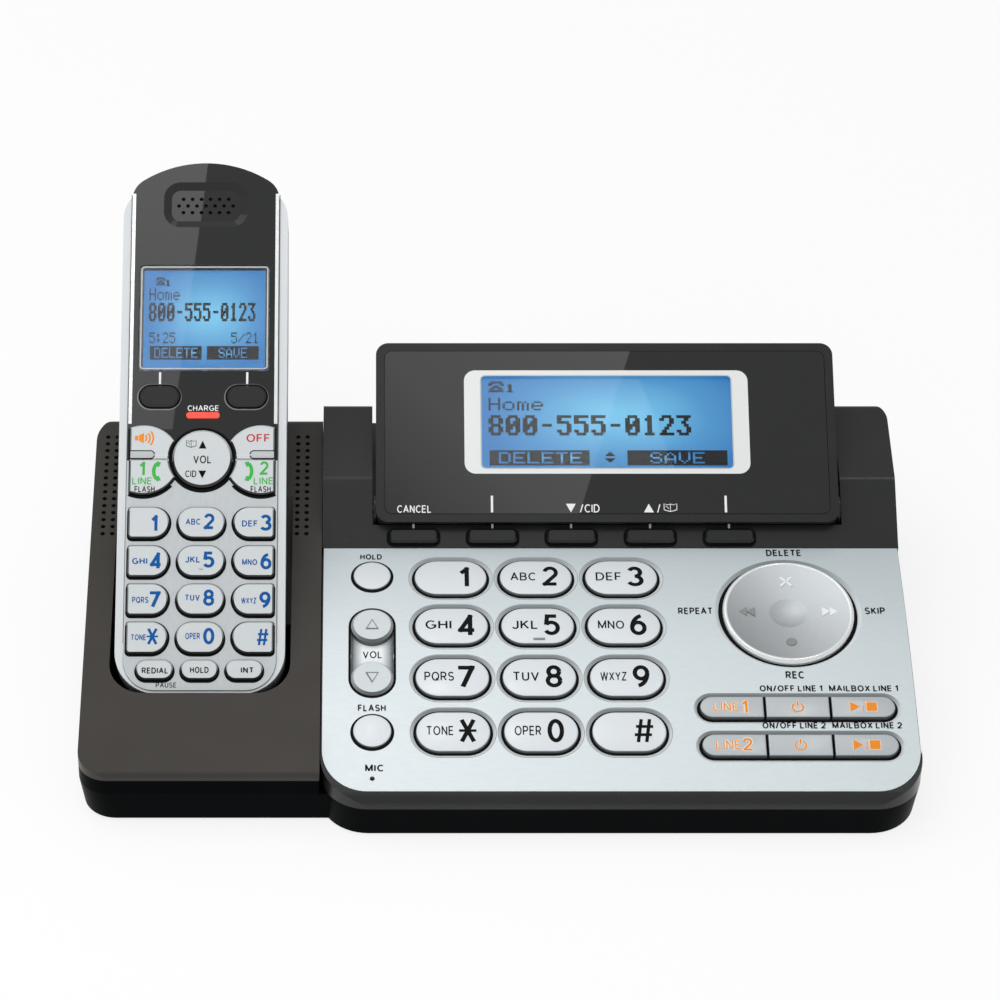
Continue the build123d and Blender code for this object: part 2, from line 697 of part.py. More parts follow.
nav_disc.part.label = "nav_disc"
export_step(nav_disc.part, "parts/nav_disc.step")

ball_radius = nav_floor - nav_pivot_depth
with BuildPart() as nav_pivot:
    with BuildSketch(Plane(nav_plane.origin, x_dir=(1, 0, 0), z_dir=-nav_plane.y_dir)):
        with BuildLine():
            Polyline((0, -nav_floor), (0, nav_socket - 0.3), (nav_pivot_radius, nav_socket - 0.3),
                     (nav_pivot_radius, -nav_pivot_depth), (ball_radius, -nav_pivot_depth))
            ThreePointArc((ball_radius, -nav_pivot_depth),
                          (ball_radius * sin(radians(45)), -nav_pivot_depth - ball_radius * cos(radians(45))),
                          (0, -nav_floor))
        make_face()
    revolve(axis=nav_axis)
nav_pivot.part.label = "nav_pivot"
export_step(nav_pivot.part, "parts/nav_pivot.step")

# ------------------------------------------------------------ electronics of the base
mat_front, mat_back = 6.0, 92.0  # ends of the key mat along the deck's chord
mat_plane_at = up_slope(deck_front, chord_slope, 0, -mat_depth - mat_wall)
mat_plane = facing(0, mat_plane_at, chord_slope)
board_left, board_right = parting_x + 11.0, right - 11.2


def over_mat(x, point, slope):
    """Where a key's axis meets the key mat, in the mat's own plane."""
    a, turn = radians(chord_slope), radians(slope - chord_slope)
    along = (point[0] - mat_plane_at[0]) * cos(a) + (point[1] - mat_plane_at[1]) * sin(a)
    height = -(point[0] - mat_plane_at[0]) * sin(a) + (point[1] - mat_plane_at[1]) * cos(a)
    return (x, along + (height - mat_wall) * tan(turn))


pads_at = [over_mat(x, *deck_at(along)) for x, along in dial_places]
pads_at += [over_mat(side_x, *deck_at(along)) for along in (hold_along, flash_along)]
pads_at += [over_mat(line_middle + side * line_pitch, *deck_at(along))
            for along in line_rows for side in (-1, 0, 1)]
pads_at += [over_mat(x, ledge(soft_along), ledge_slope) for x in soft_columns]

with BuildPart() as base_keymat:
    with BuildSketch(mat_plane):
        with Locations(((board_left + board_right) / 2, (mat_front + mat_back) / 2)):
            Rectangle(board_right - board_left - 0.6, mat_back - mat_front - 2)
    extrude(amount=mat_wall)
    with BuildSketch(mat_plane.offset(mat_wall)):
        with Locations(*pads_at):
            Rectangle(4.2, 3.4)
        with Locations(over_mat(nav_x, *deck_at(nav_along))):
            Rectangle(6, 6)
    extrude(amount=pad_height)
base_keymat.part.label = "base_keymat"
export_step(base_keymat.part, "parts/base_keymat.step")

with BuildPart() as main_board:
    with BuildSketch(mat_plane.offset(-board_wall - 0.05)):
        with Locations(((board_left + board_right) / 2, (mat_front + mat_back) / 2)):
            Rectangle(board_right - board_left, mat_back - mat_front)
    extrude(amount=board_wall)
    with BuildSketch(mat_plane.offset(-board_wall)):
        with Locations((20, 30), (60, 26), (5, 62)):
            Rectangle(14, 12)
    extrude(amount=-1.4)
main_board.part.label = "main_board"
export_step(main_board.part, "parts/main_board.step")

with BuildPart() as jack_block:
    with BuildSketch(Plane.XZ.offset(-(back_y - 0.4))):
        with Locations((jack_x, foot_proud + jack_low + jack_size[2] / 2)):
            Rectangle(jack_size[0] - 2.4, jack_size[2] - 2.4)
    extrude(amount=wall)
    with BuildSketch(Plane.XZ.offset(-(back_y - wall - seat))):
        with Locations((jack_x, foot_proud + jack_low + jack_size[2] / 2)):
            Rectangle(jack_size[0], jack_size[2])
    extrude(amount=jack_size[1])
    line_at = [(jack_x - 14.5, foot_proud + jack_low + 6.2), (jack_x - 1.0, foot_proud + jack_low + 6.2)]
    with BuildSketch(Plane.XZ.offset(-(back_y - 0.4))):
        with Locations(*line_at):
            Rectangle(line_socket[0], line_socket[1])
            with Locations((0, -line_socket[1] / 2)):
                Rectangle(3.2, 2.4)
    extrude(amount=line_socket[2], mode=Mode.SUBTRACT)
    power_at = (jack_x + 14.5, foot_proud + jack_low + 6.0)
    with BuildSketch(Plane.XZ.offset(-(back_y - 0.4))):
        with Locations(power_at):
            Circle(power_socket)
            Circle(1.0, mode=Mode.SUBTRACT)
    extrude(amount=9.5, mode=Mode.SUBTRACT)
jack_block.part.label = "jack_block"
export_step(jack_block.part, "parts/jack_block.step")

# ------------------------------------------------------------ display
lens_width = display_width - 2 * display_bezel
glass_corner = display_corner - 1.4
screen_middle = (screen_left + screen_right) / 2 - display_middle
screen_height = screen_high - screen_low
screen_mid = (screen_low + screen_high) / 2
lip_start = sqrt(barrel_radius**2 - (pivot_behind - display_lip) ** 2)
top_reach = display_height - pivot_up
pin_length = ear_wall + 0.6

with BuildPart() as display_housing:
    with BuildSketch(edge_on(display_left, pivot, ledge_slope)):
        with BuildLine():
            Polyline((-lip_start, pivot_behind - display_lip), (-pivot_up, pivot_behind - display_lip),
                     (-pivot_up, pivot_behind), (top_reach, pivot_behind),
                     (top_reach, pivot_behind - display_thin + 1.2),
                     (top_reach - 1.2, pivot_behind - display_thin), (14.0, -barrel_radius), (0, -barrel_radius))
            a = radians(225)
            ThreePointArc((0, -barrel_radius), (barrel_radius * cos(a), barrel_radius * sin(a)),
                          (-lip_start, pivot_behind - display_lip))
        make_face()
    extrude(amount=display_width)
    with BuildSketch(display_plane(0, 1)):
        with Locations((0, display_height / 2)):
            RectangleRounded(display_width, display_height, display_corner)
    extrude(amount=-20, mode=Mode.INTERSECT)
    # recess for the lens, then the room for the screen behind it
    with BuildSketch(display_plane(0, 0)):
        with Locations((0, display_height / 2)):
            RectangleRounded(lens_width, display_height - 2 * display_bezel, glass_corner)
    extrude(amount=-lens_wall - seat, mode=Mode.SUBTRACT)
    with BuildSketch(display_plane(0, -lens_wall)):
        with Locations((screen_middle, screen_mid)):
            Rectangle(screen_right - screen_left + 8, screen_height + 9)
    extrude(amount=-screen_wall - 2 * seat, mode=Mode.SUBTRACT)
    for x, grow in ((display_left, -pin_length), (display_right, pin_length)):
        with BuildSketch(edge_on(x, pivot, ledge_slope)):
            Circle(barrel_radius - 1)
        extrude(amount=grow / abs(grow) * 0.6)
        with BuildSketch(edge_on(x, pivot, ledge_slope)):
            Circle(pivot_pin)
        extrude(amount=grow)
display_housing.part.label = "display_housing"
export_step(display_housing.part, "parts/display_housing.step")

with BuildPart() as display_lens:
    with BuildSketch(display_plane(0, 0)):
        with Locations((0, display_height / 2)):
            RectangleRounded(lens_width - 2 * seat, display_height - 2 * (display_bezel + seat), glass_corner - seat)
    extrude(amount=-lens_wall)
display_lens.part.label = "display_lens"
export_step(display_lens.part, "parts/display_lens.step")

with BuildPart() as display_screen:
    with BuildSketch(display_plane(0, -lens_wall - seat)):
        with Locations((screen_middle, screen_mid)):
            Rectangle(screen_right - screen_left + 7.4, screen_height + 8.4)
    extrude(amount=-screen_wall)
display_screen.part.label = "display_screen"
export_step(display_screen.part, "parts/display_screen.step")

# ------------------------------------------------------------ cradle cover, with its pocket and the grille
# the handset's back in its own side view: toe, rise to the belly, belly, fall to the crown
back_line = [
    (0, -handset_toe), (belly_span[0], -handset_belly), (belly_span[1], -handset_belly),
    (handset_length, -handset_crown),
]
toe_round, belly_round, crown_round = 6.0, 70.0, 5.0


def pocket_profile(gap, reach):
    """Side view of the space that the handset stands in, grown by a gap, from its toe up past the cover."""
    toe, belly = back_line[0], back_line[1]
    with BuildLine() as edge:
        FilletPolyline((-gap, 40), (-gap, toe[1] - gap), (belly[0], belly[1] - gap), (reach, belly[1] - gap),
                       (reach, 40), radius=[toe_round + gap, belly_round, 0.5], close=False)
        Line(edge.line @ 1, edge.line @ 0)
    make_face(edge.edges())


def cradle_shape():
    """The cradle's outer side view under its sloping top."""
    with BuildLine() as edge:
        FilletPolyline(spot(cradle_front[0], cradle_seam), spot(*cradle_front),
                       spot(base_back - 2.5, cradle_top(base_back - 2.5)),
                       spot(base_back, cradle_top(base_back) - 3.4),
                       spot(base_back, cradle_seam), radius=[1.6, rear_round, rear_round], close=False)
        Line(edge.line @ 1, edge.line @ 0)
    make_face(edge.edges())


cradle_right = parting_x - parting_gap
pocket_reach = 82.0

with BuildPart() as pocket_shell:
    with BuildSketch(edge_on(handset_x - pocket_half - pocket_wall, handset_foot, handset_lean)):
        pocket_profile(pocket_gap + pocket_wall, pocket_reach)
    extrude(amount=2 * (pocket_half + pocket_wall))
    with BuildSketch(handset_plane(0, 0, 45)):
        with Locations((0, pocket_reach / 2 - pocket_gap - pocket_wall)):
            RectangleRounded(2 * (pocket_half + pocket_wall), pocket_reach, pocket_corner + pocket_wall)
    extrude(amount=-90, mode=Mode.INTERSECT)
    with BuildSketch(Plane.YZ.offset(left)):
        cradle_shape()
    extrude(amount=cradle_right - left, mode=Mode.INTERSECT)

with BuildPart() as pocket_space:
    with BuildSketch(edge_on(handset_x - pocket_half, handset_foot, handset_lean)):
        pocket_profile(pocket_gap, pocket_reach)
    extrude(amount=2 * pocket_half)
    with BuildSketch(handset_plane(0, 0, 45)):
        with Locations((0, pocket_reach / 2 - pocket_gap)):
            RectangleRounded(2 * pocket_half, pocket_reach, pocket_corner)
    extrude(amount=-90, mode=Mode.INTERSECT)

with BuildPart() as cradle_hollow:
    with BuildSketch(Plane.YZ.offset(left)):
        with BuildLine():
            y0, y1 = cradle_front[0], base_back - wall
            Polyline(spot(y0, cradle_seam - 1), spot(y0, cradle_top(y0) - wall),
                     spot(y1 - 2, cradle_top(y1 - 2) - wall),
                     spot(y1 + 1, cradle_top(y1) - wall - 4), spot(y1 + 1, cradle_seam - 1), close=True)
        make_face()
    extrude(amount=cradle_right - left)
    with BuildSketch(Plane.XY.offset(foot_proud)):
        plate_outline(left + wall, cradle_right - wall, cradle_y + wall, back_y - wall,
                      [cradle_corner - wall, 0.3, 0.3, cradle_rear - wall])
    extrude(amount=base_back, mode=Mode.INTERSECT)

with BuildPart() as cradle_cover:
    with BuildSketch(Plane.YZ.offset(left)):
        cradle_shape()
    extrude(amount=cradle_right - left)
    with BuildSketch(Plane.XY.offset(foot_proud)):
        plate_outline(left, cradle_right, cradle_y, back_y, [cradle_corner, 0.3, 0.3, cradle_rear])
    extrude(amount=base_back, mode=Mode.INTERSECT)
    add(cradle_hollow.part, mode=Mode.SUBTRACT)
    for x, y in cradle_posts:
        with Locations((x, front_y + y, foot_proud + post_foot + 2)):
            Cylinder(post_radius, cradle_top(y) - post_foot - 2 - wall / 2, align=standing)
            Cylinder(screw_radius, 9, align=standing, mode=Mode.SUBTRACT)
    add(pocket_shell.part)
    add(pocket_space.part, mode=Mode.SUBTRACT)
    # grille: rows of short slots behind the pocket, with round holes in two columns at each end
    with BuildSketch(facing(handset_x, (0, cradle_top(0)), cradle_slope, 1)):
        slope_length = 1 / cos(radians(cradle_slope))
        rows = [(grille_start + grille_pitch * n) * slope_length for n in range(grille_rows)]
        with Locations(*[(x, row) for row in rows for x in (-28.8, -26.1, 26.1, 28.8)]):
            RegularPolygon(grille_hole, 6)
        with Locations(*[(x, row) for row in rows[7:-1] for x in (-7.5, 7.5)]):
            Rectangle(slot_length, 1.1)
    extrude(amount=-wall - 2, mode=Mode.SUBTRACT)
    for side in (-contact_x, contact_x):
        with BuildSketch(edge_on(handset_x + side - contact_width / 2 - seat, handset_foot, handset_lean)):
            with Locations((-pocket_gap - pocket_wall / 2, -contact_depth)):
                Rectangle(pocket_wall + 2, contact_height + 2 * seat)
        extrude(amount=contact_width + 2 * seat, mode=Mode.SUBTRACT)
cradle_cover.part.label = "cradle_cover"
export_step(cradle_cover.part, "parts/cradle_cover.step")

with BuildPart() as cradle_contacts:
    for side in (-contact_x, contact_x):
        with BuildSketch(edge_on(handset_x + side - contact_width / 2, handset_foot, handset_lean)):
            with BuildLine():
                Polyline((-pocket_gap - pocket_wall - 1.2, -contact_depth - contact_height / 2),
                         (-pocket_gap, -contact_depth - contact_height / 2))
                ThreePointArc((-pocket_gap, -contact_depth - contact_height / 2), (-0.15, -contact_depth),
                              (-pocket_gap, -contact_depth + contact_height / 2))
                Polyline((-pocket_gap, -contact_depth + contact_height / 2),
                         (-pocket_gap - pocket_wall - 1.2, -contact_depth + contact_height / 2),
                         (-pocket_gap - pocket_wall - 1.2, -contact_depth - contact_height / 2))
            make_face()
        extrude(amount=contact_width)
cradle_contacts.part.label = "cradle_contacts"
export_step(cradle_contacts.part, "parts/cradle_contacts.step")

speaker_plane = facing(handset_x, (speaker_y, cradle_top(speaker_y)), cradle_slope, -wall - seat)
with BuildPart() as speaker:
    with BuildSketch(Plane(speaker_plane.origin, x_dir=(1, 0, 0), z_dir=-speaker_plane.y_dir)):
        with BuildLine():
            Polyline((0, -2.5), (speaker_radius - 2, 0), (speaker_radius, 0), (speaker_radius, -1.6),
                     (speaker_radius * 0.62, -speaker_depth * 0.55), (speaker_radius * 0.62, -speaker_depth),
                     (0, -speaker_depth), (0, -2.5))
        make_face()
    revolve(axis=Axis(speaker_plane.origin, speaker_plane.z_dir))
speaker.part.label = "speaker"
export_step(speaker.part, "parts/speaker.step")

# ------------------------------------------------------------ feet and screws
with BuildPart() as rubber_feet:
    with Locations(*[(x, y, 0) for x, y in feet_at]):
        Cylinder(foot_radius, foot_proud + foot_recess - 0.05, align=standing)
rubber_feet.part.label = "rubber_feet"
export_step(rubber_feet.part, "parts/rubber_feet.step")

with BuildPart() as housing_screws:
    with Locations(*[(x, front_y + y, foot_proud + 0.2) for x, y in console_posts + cradle_posts]):
        Cylinder(screw_head, 1.9, align=standing)
        Cylinder(screw_radius - 0.1, 10, align=standing)
housing_screws.part.label = "housing_screws"
export_step(housing_screws.part, "parts/housing_screws.step")


# ------------------------------------------------------------ handset shells
def body_face(half, corner, foot_corner, start, top):
    """Front view of the handset: straight sides, rounded corners and a domed top."""
    shoulder = top - dome - corner
    with BuildLine() as edge:
        Polyline((half - corner, shoulder), (half - corner, start + corner),
                 (corner - half, start + corner), (corner - half, shoulder))
        ThreePointArc((corner - half, shoulder), (0, top - corner), (half - corner, shoulder))
    with BuildSketch() as face:
        add(offset(make_face(edge.edges(), mode=Mode.PRIVATE), amount=corner, mode=Mode.PRIVATE))
        with Locations((0, start + top / 2)):
            RectangleRounded(2 * half, top, foot_corner, mode=Mode.INTERSECT)
    return face.sketch


def inner_face(inset=0.0):
    """The face that lies within the side trim, drawn in by an inset."""
    return body_face(handset_half - inset, face_corner - inset, face_foot - inset, toe_rim + inset,
                     handset_length - inset)


def outer_face(inset=0.0):
    """The outline of the side trim, drawn in by an inset."""
    return body_face(rail_half - inset, rail_corner - inset, rail_foot - inset, inset, rail_top - inset)


def side_profile(inset):
    """The handset's side view, drawn in by an inset at its ends and its back."""
    toe, rise, fall, crown = back_line
    with BuildLine() as edge:
        FilletPolyline((inset, 5), (inset, toe[1] + inset), (rise[0], rise[1] + inset), (fall[0], fall[1] + inset),
                       (crown[0] - inset, crown[1] + inset), (crown[0] - inset, 5),
                       radius=[toe_round - inset, belly_round, belly_round, crown_round - inset])
        Line(edge.line @ 1, edge.line @ 0)
    make_face(edge.edges())


def back_solid(inset, front):
    """The handset behind a depth from its face, drawn in by an inset, its back corners rounded."""
    half = rail_half - inset
    with BuildPart() as body:
        for along, back in back_line:
            depth = 0.1 - back - inset
            cross = Plane(handset_plane(along).origin, x_dir=(1, 0, 0), z_dir=handset_plane(0).y_dir)
            with BuildSketch(cross):
                with BuildLine() as edge:
                    FilletPolyline((-half, 5), (-half, depth), (half, depth), (half, 5),
                                   radius=[back_corner - inset] * 2)
                    Line(edge.line @ 1, edge.line @ 0)
                make_face(edge.edges())
        loft(ruled=True)
        with BuildSketch(edge_on(handset_x - rail_half - 1, handset_foot, handset_lean)):
            side_profile(inset)
        extrude(amount=2 * rail_half + 2, mode=Mode.INTERSECT)
        with BuildSketch(handset_plane(0, 0, -front)):
            add(outer_face(inset))
            add(inner_face(inset))
        extrude(amount=-40, mode=Mode.INTERSECT)
    return body.part


with BuildPart() as handset_side_trim:
    with BuildSketch(handset_plane(0, 0, -trim_sink)):
        add(outer_face())
    extrude(amount=trim_sink + seat - handset_split)
    with BuildSketch(handset_plane(0, 0, 1)):
        add(inner_face(-0.1))
    extrude(amount=-handset_split - 2, mode=Mode.SUBTRACT)
handset_side_trim.part.label = "handset_side_trim"
export_step(handset_side_trim.part, "parts/handset_side_trim.step")

with BuildPart() as handset_back_cover:
    add(back_solid(0, handset_split))
    add(back_solid(shell, handset_split + back_ledge), mode=Mode.SUBTRACT)
    with BuildSketch(handset_plane(0)):
        add(inner_face(shell))
    extrude(amount=-handset_split - back_ledge - 0.5, mode=Mode.SUBTRACT)
    with BuildSketch(handset_plane(door_along, 0, 0.05 - handset_belly)):
        RectangleRounded(2 * door_half, door_length, 2)
    extrude(amount=-2, mode=Mode.SUBTRACT)
    with BuildSketch(handset_plane(door_along, 0, door_lip - handset_belly)):
        RectangleRounded(2 * door_half, door_length, 2)
    extrude(amount=-2, mode=Mode.SUBTRACT)
    with BuildSketch(handset_plane(door_along, 0, 2 * shell - handset_belly)):
        RectangleRounded(2 * (door_half - door_rest), door_length - 2 * door_rest, 1.5)
    extrude(amount=-2 * shell, mode=Mode.SUBTRACT)
    for side in (-contact_x, contact_x):
        with BuildSketch(edge_on(handset_x + side - contact_width / 2 - seat, handset_foot, handset_lean)):
            with Locations((shell / 2, -contact_depth)):
                Rectangle(shell + 2, contact_height + 2 * seat)
        extrude(amount=contact_width + 2 * seat, mode=Mode.SUBTRACT)
handset_back_cover.part.label = "handset_back_cover"
export_step(handset_back_cover.part, "parts/handset_back_cover.step")

with BuildPart() as battery_door:
    with BuildSketch(handset_plane(door_along, 0, -handset_belly)):
        RectangleRounded(2 * (door_half - seat), door_length - 2 * seat, 2 - seat)
    extrude(amount=door_lip - seat)
    with BuildSketch(handset_plane(door_along, 0, -handset_belly)):
        RectangleRounded(2 * (door_half - door_rest - seat), door_length - 2 * door_rest - 2 * seat, 1.5)
    extrude(amount=shell)
    with BuildSketch(handset_plane(door_along, 0, -handset_belly)):
        with Locations(*[(0, door_length / 2 - 6 - 2 * n) for n in range(4)]):
            Rectangle(14, 0.9)
    extrude(amount=0.4, mode=Mode.SUBTRACT)
battery_door.part.label = "battery_door"
export_step(battery_door.part, "parts/battery_door.step")

with BuildPart() as battery_pack:
    for n in (-1, 0, 1):
        cell_end = handset_plane(door_along - cell_length / 2, n * 2.02 * cell_radius, cell_middle).origin
        with BuildSketch(Plane(cell_end, x_dir=(1, 0, 0), z_dir=handset_plane(0).y_dir)):
            Circle(cell_radius)
        extrude(amount=cell_length)
    with BuildSketch(handset_plane(door_along, 0, cell_middle - 1)):
        Rectangle(3 * cell_radius, cell_length - 6)
    extrude(amount=2)
battery_pack.part.label = "battery_pack"
export_step(battery_pack.part, "parts/battery_pack.step")

with BuildPart() as handset_contacts:
    for side in (-contact_x, contact_x):
        with BuildSketch(edge_on(handset_x + side - contact_width / 2, handset_foot, handset_lean)):
            with Locations((shell / 2 + 0.25, -contact_depth)):
                Rectangle(shell + 0.4, contact_height)
        extrude(amount=contact_width)
handset_contacts.part.label = "handset_contacts"
export_step(handset_contacts.part, "parts/handset_contacts.step")

# ------------------------------------------------------------ handset front and its keypad
rocker_places = [(-rocker_x, "speaker_line_key"), (rocker_x, "off_line_key")]


def rocker_outline(x, grow=0.0):
    """A side rocker: a round key cut flat beside the trim and hollowed round the middle key."""
    with BuildSketch() as outline:
        with Locations((x, rocker_along)):
            Circle(rocker_radius + grow)
        with Locations((0, rocker_along)):
            Rectangle(2 * (side_reach + grow), 3 * rocker_radius, mode=Mode.INTERSECT)
        with Locations((0, hs_nav_along)):
            Circle(hs_nav_radius + nav_ring - grow, mode=Mode.SUBTRACT)
    return outline.sketch


def dial_cap(column, along, grow=0.0):
    """A dial key's cap: a pill in the middle column, flat on the trim's side in the outer ones."""
    width, height = pad_size
    with BuildSketch() as outline:
        if column == 0:
            with Locations((0, along)):
                SlotOverall(width + 2 * grow, height + 2 * grow)
        else:
            inner, outer = side_inner - grow, side_reach + grow
            with Locations((column * (inner + outer) / 2, along)):
                RectangleRounded(outer - inner, height + 2 * grow, 1.0)
            with Locations((column * (inner + height / 2), along)):
                Rectangle(height + 2 * grow, height + 2 * grow + 1, mode=Mode.SUBTRACT)
                Circle(height / 2 + grow)
                with Locations((column * height / 4, 0)):
                    Rectangle(height / 2 + 2 * grow, height + 2 * grow)
    return outline.sketch


def function_cap(column, grow=0.0):
    with BuildSketch() as outline:
        with Locations((column * function_pitch, function_along)):
            SlotOverall(function_size[0] + 2 * grow, function_size[1] + 2 * grow)
    return outline.sketch


with BuildPart() as handset_front_cover:
    with BuildSketch(handset_plane(0)):
        add(inner_face())
    extrude(amount=seat - handset_split)
    with BuildSketch(handset_plane(0, 0, -shell)):
        add(inner_face(shell))
    extrude(amount=-handset_split, mode=Mode.SUBTRACT)
    # room for the keypad: thin walls up to its top edge, and the rebate that its face lies in
    with BuildSketch(handset_plane(0, 0, 1)):
        add(inner_face(keypad_rim))
        with Locations((0, keypad_top / 2)):
            Rectangle(3 * rail_half, keypad_top, mode=Mode.INTERSECT)
    extrude(amount=-handset_split - 1, mode=Mode.SUBTRACT)
    with BuildSketch(handset_plane(keypad_top / 2, 0, -skin - seat)):
        Rectangle(3 * rail_half, keypad_top)
    extrude(amount=3, mode=Mode.SUBTRACT)
    with BuildSketch(handset_plane(0, 0, -rocker_room)):
        for x, _ in rocker_places:
            add(rocker_outline(x, 0.3))
        with Locations((0, hs_nav_along)):
            Circle(hs_nav_radius + 0.35)
        for side in (-hs_soft_x, hs_soft_x):
            with Locations((side, hs_soft_along)):
                SlotOverall(hs_soft_size[0] + 0.6, hs_soft_size[1] + 0.6)
    extrude(amount=rocker_room + 1, mode=Mode.SUBTRACT)
    # charge lamp slot, window with its lens recess, and the dished earpiece with its holes
    with BuildSketch(handset_plane(lamp_along, 0, -shell - 1)):
        SlotOverall(lamp_size[0] + 2 * seat, lamp_size[1] + 2 * seat)
    extrude(amount=shell + 2, mode=Mode.SUBTRACT)
    with BuildSketch(handset_plane(window_along, 0, -skin - seat)):
        RectangleRounded(*window_size, 1.2)
    extrude(amount=3, mode=Mode.SUBTRACT)
    with BuildSketch(handset_plane(window_along, 0, -shell - 1)):
        Rectangle(*hs_screen)
    extrude(amount=shell + 2, mode=Mode.SUBTRACT)
    with BuildSketch(handset_plane(ear_along, 0, -ear_dish)):
        RectangleRounded(ear_size[0] - 2 * ear_bevel, ear_size[1] - 2 * ear_bevel, 2.6)
    with BuildSketch(handset_plane(ear_along, 0, 0)):
        RectangleRounded(*ear_size, 2.6 + ear_bevel)
    loft(mode=Mode.SUBTRACT)
    with BuildSketch(handset_plane(ear_along)):
        for row, count in ((ear_pitch * 0.8, 6), (0, 7), (-ear_pitch * 0.8, 6)):
            with Locations(*[((n - (count - 1) / 2) * ear_pitch, row) for n in range(count)]):
                RegularPolygon(0.6, 6)
    extrude(amount=-shell - 1, mode=Mode.SUBTRACT)
    # posts that carry the board
    with BuildSketch(handset_plane(0, 0, board_face + seat)):
        with Locations(*[(side * 15.7, along) for side in (-1, 1) for along in board_posts]):
            Circle(1.2)
    extrude(amount=-board_face - seat - shell / 2)
handset_front_cover.part.label = "handset_front_cover"
export_step(handset_front_cover.part, "parts/handset_front_cover.step")

with BuildPart() as handset_keypad_face:
    with BuildSketch(handset_plane(0)):
        add(inner_face())
        with Locations((0, (keypad_top - seat) / 2)):
            Rectangle(3 * rail_half, keypad_top - seat, mode=Mode.INTERSECT)
        for x, _ in rocker_places:
            add(rocker_outline(x, 0.3), mode=Mode.SUBTRACT)
        with Locations((0, hs_nav_along)):
            Circle(hs_nav_radius + 0.35, mode=Mode.SUBTRACT)
        for column in (-1, 0, 1):
            add(function_cap(column, 0.25), mode=Mode.SUBTRACT)
            for along in pad_rows:
                add(dial_cap(column, along, 0.3), mode=Mode.SUBTRACT)
    extrude(amount=-skin)
handset_keypad_face.part.label = "handset_keypad_face"
export_step(handset_keypad_face.part, "parts/handset_keypad_face.step")

for column, word in ((-1, "left"), (0, "middle"), (1, "right")):
    with BuildPart() as keypad_column:
        with BuildSketch(handset_plane(0, 0, -mat_back_depth)):
            if column == 0:
                with Locations((0, (mat_low + mat_high) / 2)):
                    Rectangle(pad_size[0] - 0.4, mat_high - mat_low)
            else:
                with Locations((column * (side_inner + side_reach) / 2, (mat_turn + mat_high) / 2)):
                    Rectangle(side_reach - side_inner - 0.4, mat_high - mat_turn)
                with Locations((column * (side_inner + mat_narrow) / 2, (mat_low + mat_turn) / 2)):
                    Rectangle(mat_narrow - side_inner - 0.2, mat_turn - mat_low)
        extrude(amount=hs_mat)
        with BuildSketch(handset_plane(0, 0, hs_mat - mat_back_depth)):
            add(function_cap(column))
            for along in pad_rows:
                add(dial_cap(column, along))
        extrude(amount=mat_back_depth - hs_mat + hs_key_proud)
        caps = keypad_column.faces().sort_by(Axis(handset_plane(0).origin, handset_plane(0).z_dir))[-5:]
        chamfer(caps.edges(), 0.4)
    keypad_column.part.label = f"keypad_column_{word}"
    export_step(keypad_column.part, f"parts/keypad_column_{word}.step")

with BuildPart() as handset_nav_key:
    with BuildSketch(handset_plane(hs_nav_along, 0, -rocker_back)):
        Circle(hs_nav_radius)
    extrude(amount=rocker_back + hs_nav_proud)
    top = handset_nav_key.faces().sort_by(Axis(handset_plane(0).origin, handset_plane(0).z_dir))[-1]
    chamfer(top.edges(), 0.6)
    with BuildSketch(edge_on(handset_x - hs_nav_radius - 0.2, handset_foot, handset_lean)):
        with Locations((hs_nav_along, -hs_pin_depth)):
            Circle(hs_pin)
    extrude(amount=2 * hs_nav_radius + 0.4)
handset_nav_key.part.label = "handset_nav_key"
export_step(handset_nav_key.part, "parts/handset_nav_key.step")

for x, word in rocker_places:
    side = x / rocker_x
    pin_from, pin_to = hs_nav_radius + nav_ring + 0.5, side_reach - 0.3
    with BuildPart() as rocker:
        with BuildSketch(handset_plane(0, 0, -rocker_back)):
            add(rocker_outline(x))
        extrude(amount=rocker_back + hs_key_proud)
        top = rocker.faces().sort_by(Axis(handset_plane(0).origin, handset_plane(0).z_dir))[-1]
        chamfer(top.edges(), 0.4)
        with BuildSketch(handset_plane(rocker_along, 0, hs_key_proud - 0.35)):
            with Locations((side * (hs_nav_radius + side_reach) / 2, 0)):
                Rectangle(2 * side_reach, 0.5)
        extrude(amount=1, mode=Mode.SUBTRACT)
        with BuildSketch(edge_on(handset_x + (pin_from if side > 0 else -pin_to), handset_foot, handset_lean)):
            with Locations((rocker_along, -hs_pin_depth)):
                Circle(hs_pin)
        extrude(amount=pin_to - pin_from)
    rocker.part.label = word
    export_step(rocker.part, f"parts/{word}.step")

with BuildPart() as handset_soft_keys:
    with BuildSketch(handset_plane(hs_soft_along, 0, -mat_back_depth)):
        Rectangle(2 * hs_soft_x + hs_soft_size[0] - 0.6, hs_soft_size[1] - 0.6)
    extrude(amount=hs_mat)
    with BuildSketch(handset_plane(hs_soft_along, 0, hs_mat - mat_back_depth)):
        for side in (-hs_soft_x, hs_soft_x):
            with Locations((side, 0)):
                SlotOverall(*hs_soft_size)
    extrude(amount=mat_back_depth - hs_mat + 0.8)
    caps = handset_soft_keys.faces().sort_by(Axis(handset_plane(0).origin, handset_plane(0).z_dir))[-2:]
    chamfer(caps.edges(), 0.5)
handset_soft_keys.part.label = "handset_soft_keys"
export_step(handset_soft_keys.part, "parts/handset_soft_keys.step")

with BuildPart() as charge_lamp:
    with BuildSketch(handset_plane(lamp_along, 0, -shell)):
        SlotOverall(*lamp_size)
    extrude(amount=shell + 0.1)
charge_lamp.part.label = "charge_lamp"
export_step(charge_lamp.part, "parts/charge_lamp.step")

with BuildPart() as handset_lens:
    with BuildSketch(handset_plane(window_along)):
        RectangleRounded(window_size[0] - 2 * seat, window_size[1] - 2 * seat, 1.2 - seat)
    extrude(amount=-skin)
handset_lens.part.label = "handset_lens"
export_step(handset_lens.part, "parts/handset_lens.step")

